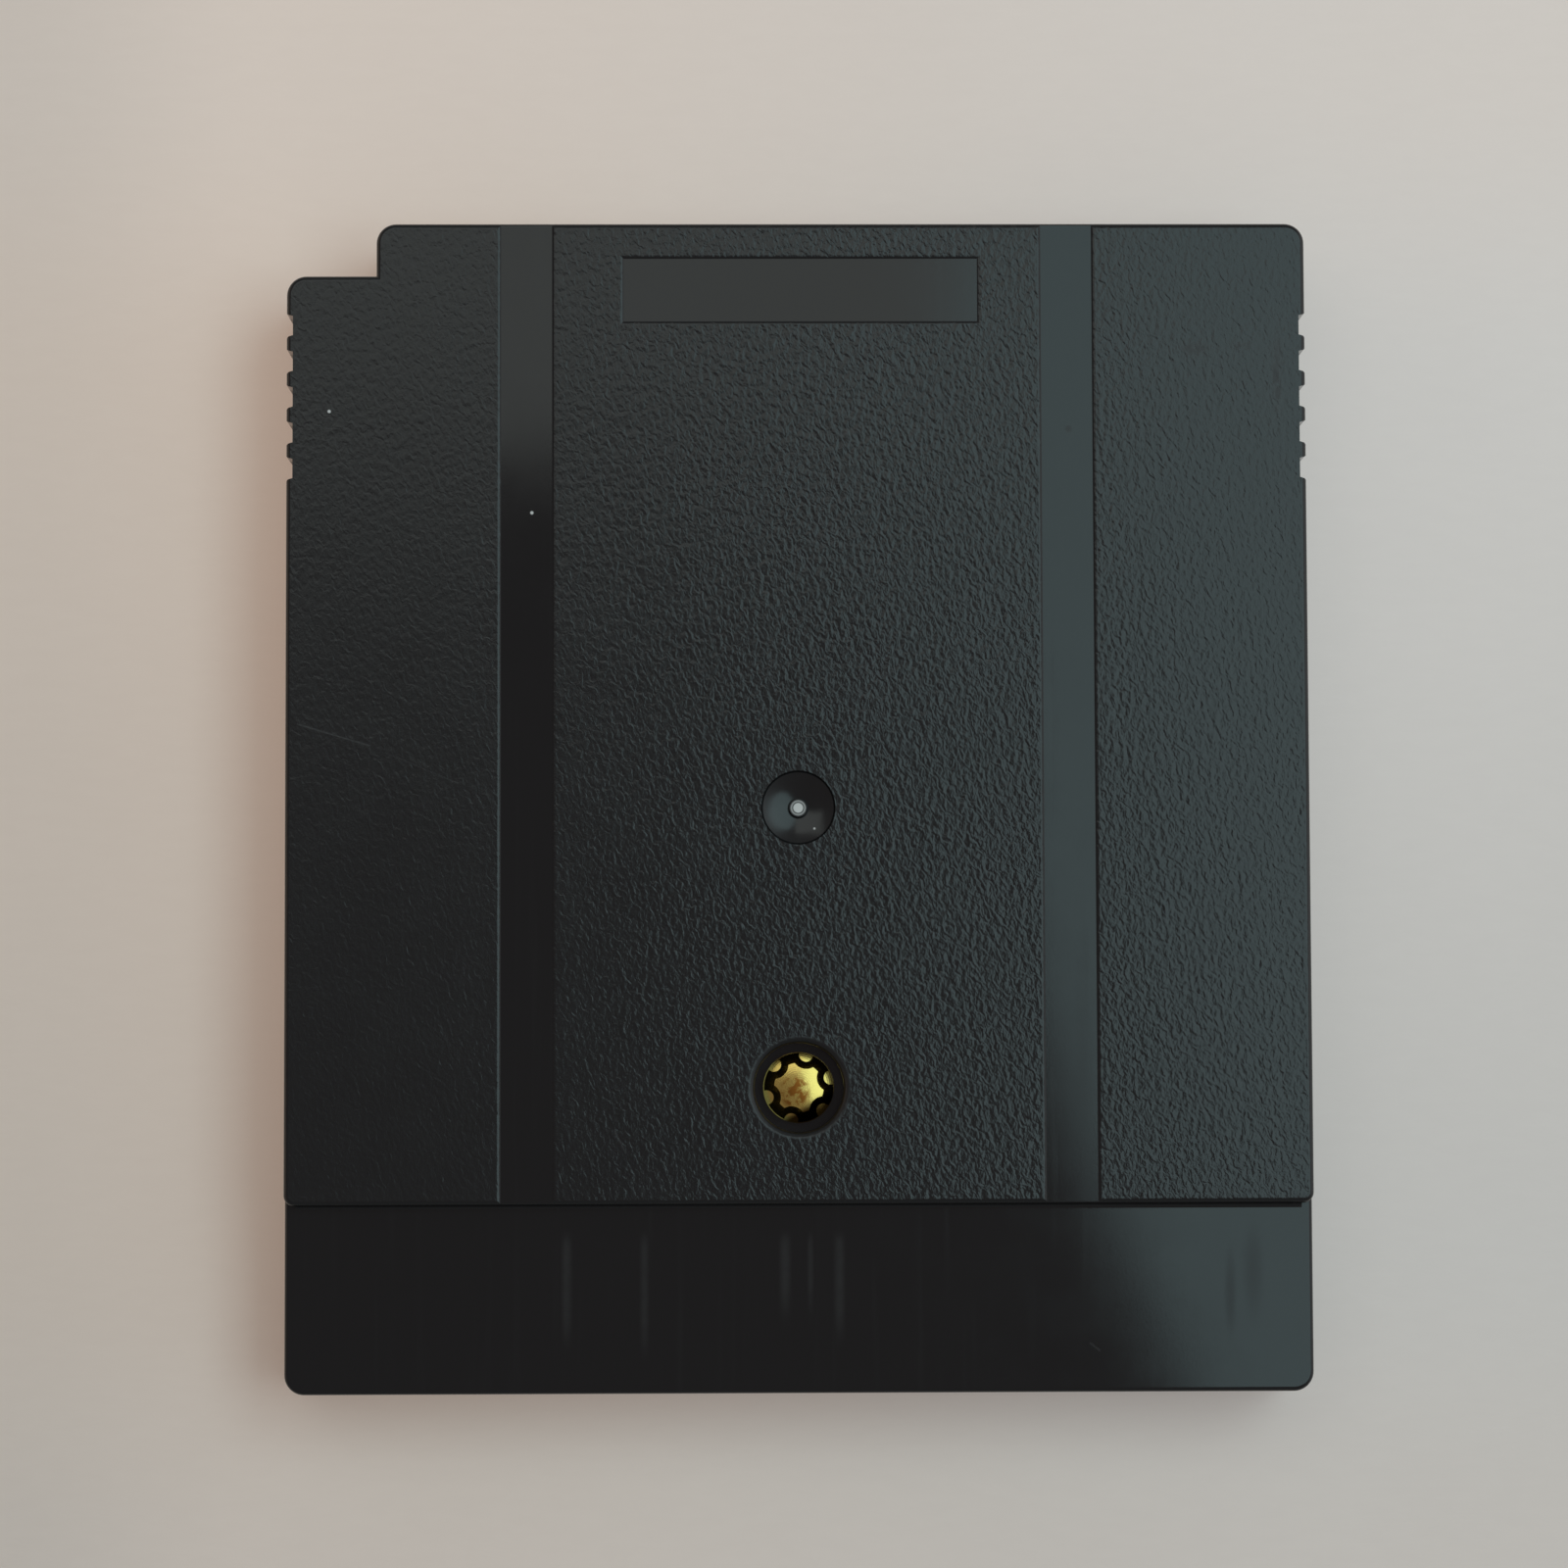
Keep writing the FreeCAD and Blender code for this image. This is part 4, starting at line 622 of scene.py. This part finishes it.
class RearFinish(Finish):
    """Black plastic of the rear half: grained panel, smooth band and channels, and their wear."""

    def __init__(self, settings):
        super().__init__("rear_plastic")
        self.settings = settings
        self.up = self.ramp(self.facing_up(), *FACING_UP)
        self.panel = self.times(self.ramp(self.z, GRAIN_LOW, GRAIN_HIGH), self.up)
        self.outer = self.ramp(self.z, RIM_LOW - RIM_FADE, RIM_LOW)
        self.smooth = self.times(self.math("SUBTRACT", 1.0, self.panel), self.up, self.outer)
        lines = self.noise(1.0, detail=3.0, roughness=0.6, place=self.stretched(*RUB_STRETCH))
        self.rubbed = self.times(self.ramp(lines, *RUB_RANGE), self.smooth)
        # Dust spots and one painted highlight in the gate's dish
        specks_and_highlight = [self.near(place, radius) for place, radius in SPECKS_AND_HIGHLIGHT]
        self.specked_and_highlit = self.largest(*specks_and_highlight, self.pip())
        self.set("Base Color", self.colour())
        self.set("Roughness", self.between(self.specked_and_highlit, self.gloss(), settings.speck_and_highlight_roughness))
        self.set("IOR", settings.refraction)
        self.set("Normal", self.bump(self.height(), settings.grain_height))

    def pip(self):
        """Pale core and fainter ring on top of the gate's pip."""
        core = self.near(GATE, PIP_CORE, softness=0.12)
        disc = self.near(GATE, PIP_RING_OUTER, softness=0.1)
        ring = self.math("SUBTRACT", disc, self.near(GATE, PIP_RING_INNER, softness=0.1))
        marked = self.largest(core, self.times(ring, PIP_RING_STRENGTH))
        return self.times(marked, self.ramp(self.z, *PIP_SPAN))

    def foot(self):
        """1 on the concave foot of the step between panel and band."""
        aside = self.math("ABSOLUTE", self.math("SUBTRACT", self.y, STEP))
        above = self.ramp(self.z, *FOOT_START)
        below = self.ramp(self.z, *FOOT_END)
        return self.times(above, self.ramp(aside, *FOOT_REACH), below)

    def colour(self):
        """Plastic, paler where it is rubbed, scuffed or scratched, with pale dust spots and a painted
        highlight in the gate's dish.
        """
        settings = self.settings
        scuffs = [self.times(self.streak(*line), strength) for *line, strength in BAND_SCUFFS]
        scratches = [self.times(self.scratch(*line), strength) for *line, strength in SCRATCHES]
        broken = self.ramp(self.noise(1.6), *PATCHY_NOISE, SCUFF_GAPS, 1.0)
        bloom = self.largest(
            self.times(self.rubbed, RUB_BLOOM),
            self.times(self.largest(*scuffs), broken),
            self.times(self.largest(*scratches), self.up),
        )
        worn = self.tint(self.times(bloom, settings.bloom_strength), settings.plastic, settings.bloom)
        return self.tint(self.specked_and_highlit, worn, settings.speck_and_highlight)

    def gloss(self):
        """Roughness of each face, with what dulls it: rubbing, faint clouds, smears and soft marks."""
        settings = self.settings
        gloss = self.between(self.outer, settings.side_roughness, settings.rim_roughness)
        hazy = settings.panel_roughness + settings.haze
        grained = self.ramp(self.x, *LEFT_SPAN, hazy, settings.panel_roughness)
        gloss = self.between(self.panel, gloss, grained)
        gloss = self.between(self.smooth, gloss, settings.smooth_roughness)
        dish = self.near(GATE, DISH_RADIUS, softness=0.03)
        gloss = self.between(dish, gloss, settings.dish_roughness)
        well = self.near(SCREW, WELL_RADIUS, softness=0.02)
        wall = self.ramp(self.z, *WELL_WALL, settings.well_low_roughness, settings.well_high_roughness)
        gloss = self.between(well, gloss, wall)
        gloss = self.between(self.foot(), gloss, settings.foot_roughness)
        cloud = self.noise(0.35, detail=3.0, roughness=0.6)
        ragged = self.ramp(self.noise(1.3, roughness=0.55), *PATCHY_NOISE)
        smears = self.largest(*[self.oval(*smear, core=0.1) for smear in SMEARS])
        marks = self.largest(*[self.oval(*mark, core=0.0) for mark in DULL_MARKS])
        return self.plus(
            gloss,
            self.times(self.rubbed, settings.rub_roughness),
            self.uneven(cloud, 0.0, CLOUD_SPREAD),
            self.times(smears, ragged, self.up, settings.smear_roughness),
            self.times(marks, self.up, settings.mark_roughness),
        )

    def grain(self):
        """Height of the moulded leather grain, between 0 and 1, with its wrinkles drawn out aslant."""
        place = self.drawn_out(self.settings.grain_lean, self.settings.grain_stretch)
        per_mm = MM / self.settings.grain_spacing
        warp = self.noise(GRAIN_WARP * per_mm, detail=1.0, place=place)
        drift = self.math("SUBTRACT", warp, 0.5)
        bent = self.vector("ADD", place, self.vector("SCALE", GRAIN_DRIFT, scale=drift))
        ridges = self.noise(GRAIN_RIDGES * per_mm, roughness=0.45, place=bent)
        return self.ramp(ridges, *GRAIN_RANGE, smooth=False)

    def height(self):
        """Height of the texture: grain on the panel, and fine texture and faint waves all over."""
        left = self.ramp(self.x, *LEFT_SPAN, LEFT_GRAIN, 1.0)
        right = self.ramp(self.x, *RIGHT_SPAN, 1.0, RIGHT_GRAIN)
        cornered = self.times(self.ramp(self.x, *CORNER_ACROSS), self.ramp(self.y, *CORNER_ALONG))
        corner = self.ramp(cornered, 0.0, 1.0, 1.0, CORNER_GRAIN)
        crisp = self.times(left, self.panel, right, corner)
        fine = self.times(self.noise(14.0), FINE_HEIGHT)
        waves = self.times(self.noise(0.12, detail=1.0), WAVE_HEIGHT)
        return self.plus(self.times(self.grain(), crisp), fine, waves)


def front_finish(settings):
    """Black plastic of the front half, lightly textured outside."""
    finish = Finish("front_plastic")
    cloud = finish.noise(0.3, detail=3.0, roughness=0.6)
    bloomed = finish.ramp(cloud, *BLOOM_RANGE, 0.0, FRONT_BLOOM)
    finish.set("Base Color", finish.tint(bloomed, settings.plastic, settings.bloom))
    finish.set("Roughness", finish.uneven(cloud, settings.side_roughness, FRONT_SPREAD))
    finish.set("IOR", settings.refraction)
    height = finish.plus(finish.times(finish.noise(3.2), FRONT_TEXTURE), cloud)
    finish.set("Normal", finish.bump(height, settings.grain_height))
    return finish


def screw_finish(settings):
    """Bright plating with a brown mottled patch on the flat of the head, and painted shade that darkens the
    edge of the head on its lower right side.
    """
    finish = Finish("screw_plating")
    offset = finish.offset(SCREW)
    radius = finish.vector("LENGTH", offset)
    mottle = finish.noise(1.7, detail=3.0, roughness=0.6)
    # Brown mottled patch on the flat of the head
    brown_share = finish.times(finish.ramp(mottle, *BROWN_RANGE), finish.oval(*BROWN_PATCH))
    # Painted shade on the lower right side of the head
    shaded = finish.ramp(finish.vector("DOT_PRODUCT", offset, PAINTED_SHADE_SIDE), *PAINTED_SHADE_SPAN)
    plated = finish.tint(brown_share, settings.plating, settings.brown_patch)
    finish.set("Base Color", finish.tint(shaded, plated, settings.painted_shade))
    finish.set("Metallic", 1.0)
    dull = settings.roughness + settings.brown_patch_roughness
    finish.set("Roughness", finish.between(brown_share, settings.roughness, dull))
    dome = finish.times(finish.math("POWER", radius, 2.0), -HEAD_DOME)
    turned = finish.math("SINE", finish.times(radius, TURNED_LINES))
    height = finish.plus(dome, finish.times(turned, TURNED_HEIGHT), finish.times(mottle, MOTTLE_HEIGHT))
    finish.set("Normal", finish.bump(height, MM))
    return finish


def board_finish(settings):
    """Green coated laminate with tracks under the coating and a fibre edge."""
    finish = Finish("board_laminate")
    face = finish.ramp(finish.math("ABSOLUTE", finish.facing_up()), *BOARD_FACE)
    contours = finish.noise(0.55, detail=0.0, place=finish.stretched(*TRACK_STRETCH))
    tracks = finish.math("SINE", finish.times(contours, TRACK_WAVES))
    copper = finish.ramp(tracks, *TRACK_RANGE)
    coating = finish.tint(copper, settings.mask, settings.track)
    fibres = finish.noise(3.0, roughness=0.6, place=finish.stretched(*FIBRE_STRETCH))
    edge = finish.tint(finish.ramp(fibres, *WHOLE_NOISE), shade(settings.edge, EDGE_SHADE), settings.edge)
    finish.set("Base Color", finish.tint(face, edge, coating))
    finish.set("Roughness", finish.between(face, settings.edge_roughness, settings.mask_roughness))
    finish.set("Normal", finish.bump(finish.times(copper, face), TRACK_HEIGHT))
    return finish


def metal_finish(name, colour, roughness, stretch):
    """A bare or plated metal with fine brushed lines along one direction."""
    finish = Finish(name)
    lines = finish.noise(6.0, roughness=0.6, place=finish.stretched(*stretch))
    worn = finish.ramp(finish.noise(0.7), *WORN_RANGE)
    finish.set("Base Color", finish.tint(worn, colour, shade(colour, METAL_SHADE)))
    finish.set("Metallic", 1.0)
    finish.set("Roughness", finish.uneven(lines, roughness, METAL_SPREAD))
    finish.set("Normal", finish.bump(lines, BRUSH_HEIGHT))
    return finish


def moulded_finish(name, colour, roughness, scale):
    """A matt moulded or fired body with a fine speckle."""
    finish = Finish(name)
    speckle = finish.noise(scale, detail=3.0, roughness=0.6)
    pale = [min(1.0, channel * SPECKLE_GAIN + SPECKLE_LIFT) for channel in colour]
    finish.set("Base Color", finish.tint(finish.ramp(speckle, *SPECKLE_RANGE), colour, pale))
    finish.set("Roughness", finish.uneven(speckle, roughness, MOULDED_SPREAD))
    finish.set("Normal", finish.bump(speckle, SPECKLE_HEIGHT))
    return finish


def lift_floor(finish, settings):
    """Brightness that the floor has where it is seen: painted warm shade on the left and painted cool light
    on the right, strongest beside the object, and painted light that is brighter towards the far end and
    darker at the far left.
    """
    path = finish.tree.nodes.new("ShaderNodeLightPath")
    rays = ("Is Camera Ray", "Is Transmission Ray", "Is Glossy Ray")
    seen = finish.largest(*[path.outputs[ray] for ray in rays])
    # Painted coloured shade and light beside the object: warm on its left, cool on its right
    rightward = finish.ramp(finish.x, *TINT_ACROSS, -0.5, 0.5)
    beside = finish.ramp(finish.math("ABSOLUTE", finish.y), *TINT_ALONG, TINT_AT_ENDS, 1.0)
    tone = finish.plus(finish.times(rightward, beside), 0.5)
    finish.set("Emission Color", finish.tint(tone, settings.warm_lift, settings.cool_lift))
    # Painted light: brighter towards the far end, darker at the far left
    along = finish.ramp(finish.y, *LIFT_ALONG, *LIFT_RANGE)
    left = finish.ramp(finish.x, *LIFT_LEFT, LIFT_AT_LEFT, 1.0)
    finish.set("Emission Strength", finish.times(seen, along, left))


def clear_below(finish):
    """Lets a finish be seen from its front side only."""
    geometry = finish.tree.nodes.new("ShaderNodeNewGeometry")
    clear = finish.tree.nodes.new("ShaderNodeBsdfTransparent")
    either = finish.tree.nodes.new("ShaderNodeMixShader")
    finish.put(either.inputs[0], geometry.outputs["Backfacing"])
    finish.put(either.inputs[1], finish.shader.outputs["BSDF"])
    finish.put(either.inputs[2], clear.outputs["BSDF"])
    finish.put(finish.output.inputs["Surface"], either.outputs["Shader"])


def floor_finish(settings):
    """Pale matt floor with a faint uneven tone, clear from below."""
    finish = Finish("stage_floor")
    cloud = finish.noise(0.03, detail=3.0, roughness=0.55)
    fibre = finish.noise(0.9, detail=3.0, roughness=0.6, place=finish.stretched(*FLOOR_STRETCH))
    clouded = finish.ramp(cloud, *WHOLE_NOISE, 0.0, FLOOR_CLOUD)
    tone = finish.plus(clouded, finish.ramp(fibre, *WHOLE_NOISE, 0.0, 1.0 - FLOOR_CLOUD))
    finish.set("Base Color", finish.tint(tone, settings.floor, shade(settings.floor, FLOOR_SHADE)))
    finish.set("Roughness", settings.floor_roughness)
    finish.set("Specular IOR Level", settings.floor_specular)
    finish.set("Normal", finish.bump(fibre, FLOOR_TEXTURE))
    lift_floor(finish, settings)
    clear_below(finish)
    return finish


def soft_light(name, shape, place, size, height, radiance):
    """A soft light that shines straight down, given by its brightness."""
    data = bpy.data.lights.new(name, "AREA")
    data.shape = shape
    data.size, data.size_y = size
    area = size[0] * size[1] * (math.pi / 4 if shape == "ELLIPSE" else 1.0)
    strongest = max(radiance)
    data.color = [channel / strongest for channel in radiance]
    data.energy = strongest * math.pi * area
    light = bpy.data.objects.new(name, data)
    light.location = (*place, height)
    bpy.context.scene.collection.objects.link(light)


def room(settings):
    """World: dim overhead, brighter towards the horizon, cool on the right and warm on the left."""
    world = bpy.data.worlds.new("room")
    world.use_nodes = True
    bpy.context.scene.world = world
    nodes = Nodes(world.node_tree)
    coordinates = nodes.tree.nodes.new("ShaderNodeTexCoord")
    right, far, up = nodes.parts(coordinates.outputs["Generated"])
    sides = nodes.tint(nodes.ramp(right, *ROOM_SIDES), settings.warm_side, settings.cool_side)
    near_end = shade(settings.cool_side, NEAR_END_SHADE)
    ends = nodes.tint(nodes.ramp(far, *ROOM_NEAR_END), near_end, sides)
    far_end = shade(settings.cool_side, FAR_END_SHADE)
    ends = nodes.tint(nodes.ramp(far, *ROOM_FAR_END), ends, far_end)
    height = nodes.plus(up, nodes.ramp(right, *ROOM_LEFT, 0.0, ROOM_LEFT_RISE))
    sky = nodes.tint(nodes.ramp(height, *ROOM_OVERHEAD), settings.zenith, ends)
    nodes.put(nodes.tree.nodes["Background"].inputs["Color"], sky)


class CARTRIDGE_OT_housing(bpy.types.Operator):
    """Finish both halves of the housing"""

    bl_idname = "cartridge.housing"
    bl_label = "Housing"

    def execute(self, context):
        settings = context.scene.cartridge_housing
        RearFinish(settings).onto("rear_shell")
        front_finish(settings).onto("front_shell")
        return {"FINISHED"}


class CARTRIDGE_OT_screw(bpy.types.Operator):
    """Finish the security screw"""

    bl_idname = "cartridge.screw"
    bl_label = "Screw"

    def execute(self, context):
        screw_finish(context.scene.cartridge_screw).onto("security_screw")
        return {"FINISHED"}


class CARTRIDGE_OT_board(bpy.types.Operator):
    """Finish the circuit board and its edge contacts"""

    bl_idname = "cartridge.board"
    bl_label = "Board"

    def execute(self, context):
        settings = context.scene.cartridge_board
        board_finish(settings).onto("circuit_board")
        gold = metal_finish("contact_gold", settings.gold, roughness=0.2, stretch=(1.0, 0.05, 1.0))
        gold.onto("edge_contacts")
        return {"FINISHED"}


class CARTRIDGE_OT_chips(bpy.types.Operator):
    """Finish the chips and their leads"""

    bl_idname = "cartridge.chips"
    bl_label = "Chips"

    def execute(self, context):
        settings = context.scene.cartridge_board
        case = moulded_finish("chip_case", settings.chip_case, roughness=0.55, scale=5.0)
        leads = metal_finish("lead_metal", settings.tin, roughness=0.3, stretch=(1.0, 0.1, 1.0))
        for name in ("rom", "ram", "mapper", "reset"):
            case.onto(f"{name}_chip")
            leads.onto(f"{name}_leads")
        return {"FINISHED"}


class CARTRIDGE_OT_cell(bpy.types.Operator):
    """Finish the coin cell and its tabs"""

    bl_idname = "cartridge.cell"
    bl_label = "Coin cell"

    def execute(self, context):
        settings = context.scene.cartridge_board
        steel = metal_finish("cell_steel", settings.cell, roughness=0.3, stretch=(0.05, 1.0, 1.0))
        steel.onto("coin_cell")
        tabs = metal_finish("tab_metal", settings.tin, roughness=0.34, stretch=(1.0, 0.1, 1.0))
        tabs.onto("cell_tab_positive", "cell_tab_negative")
        return {"FINISHED"}


class CARTRIDGE_OT_passives(bpy.types.Operator):
    """Finish the capacitors, the resistors and their metal ends"""

    bl_idname = "cartridge.passives"
    bl_label = "Capacitors and resistors"

    def execute(self, context):
        settings = context.scene.cartridge_board
        ceramic = moulded_finish("capacitor_ceramic", settings.ceramic, roughness=0.5, scale=7.0)
        ceramic.onto("rom_capacitor", "ram_capacitor", "supply_capacitor")
        coating = moulded_finish("resistor_body", settings.resistor, roughness=0.4, scale=7.0)
        coating.onto("battery_resistor", "select_resistor")
        ends = metal_finish("end_metal", settings.tin, roughness=0.36, stretch=(0.2, 1.0, 1.0))
        ends.onto("capacitor_ends", "resistor_ends")
        return {"FINISHED"}


class CARTRIDGE_OT_stage(bpy.types.Operator):
    """Set up the floor, the light and the camera"""

    bl_idname = "cartridge.stage"
    bl_label = "Stage"

    def execute(self, context):
        settings = context.scene.cartridge_stage
        bpy.ops.object.select_all(action="DESELECT")
        bpy.ops.mesh.primitive_plane_add(size=settings.floor_size, location=(0.0, 0.0, -FLOOR_DROP))
        floor = context.active_object
        floor.name = "stage_floor"
        floor.data.materials.append(floor_finish(settings).material)

        height = REAR_HIGH.z + settings.light_height
        for name, shape in (("side", "ELLIPSE"), ("window", "RECTANGLE"), ("end", "RECTANGLE")):
            place, size = getattr(settings, f"{name}_place"), getattr(settings, f"{name}_size")
            soft_light(f"{name}_light", shape, place, size, height, getattr(settings, f"{name}_light"))
        room(settings)

        data = bpy.data.cameras.new("camera")
        data.sensor_width = SENSOR_WIDTH
        data.lens = settings.lens
        camera = bpy.data.objects.new("camera", data)
        camera.location = settings.camera_place
        camera.rotation_euler = settings.camera_turn
        context.scene.collection.objects.link(camera)
        context.scene.camera = camera
        context.scene.view_settings.view_transform = "Standard"
        return {"FINISHED"}


class CARTRIDGE_PT_panel(bpy.types.Panel):
    """Lists the cartridge's pieces and settings"""

    bl_idname = "CARTRIDGE_PT_panel"
    bl_label = "Game cartridge"
    bl_space_type = "VIEW_3D"
    bl_region_type = "UI"
    bl_category = "Cartridge"

    def draw(self, context):
        for operator in OPERATORS:
            self.layout.operator(operator.bl_idname)
        for attribute, group in SETTINGS.items():
            box = self.layout.box()
            settings = getattr(context.scene, attribute)
            for name in group.__annotations__:
                box.prop(settings, name)


OPERATORS = (
    CARTRIDGE_OT_housing,
    CARTRIDGE_OT_screw,
    CARTRIDGE_OT_board,
    CARTRIDGE_OT_chips,
    CARTRIDGE_OT_cell,
    CARTRIDGE_OT_passives,
    CARTRIDGE_OT_stage,
)
SETTINGS = {
    "cartridge_housing": HousingSettings,
    "cartridge_screw": ScrewSettings,
    "cartridge_board": BoardSettings,
    "cartridge_stage": StageSettings,
}
CLASSES = (*SETTINGS.values(), *OPERATORS, CARTRIDGE_PT_panel)


def register():
    for cls in CLASSES:
        bpy.utils.register_class(cls)
    for attribute, group in SETTINGS.items():
        setattr(bpy.types.Scene, attribute, PointerProperty(type=group))


def unregister():
    for attribute in SETTINGS:
        delattr(bpy.types.Scene, attribute)
    for cls in reversed(CLASSES):
        bpy.utils.unregister_class(cls)


def main():
    register()
    bpy.ops.cartridge.housing()
    bpy.ops.cartridge.screw()
    bpy.ops.cartridge.board()
    bpy.ops.cartridge.chips()
    bpy.ops.cartridge.cell()
    bpy.ops.cartridge.passives()
    bpy.ops.cartridge.stage()


if __name__ == "__main__":
    main()
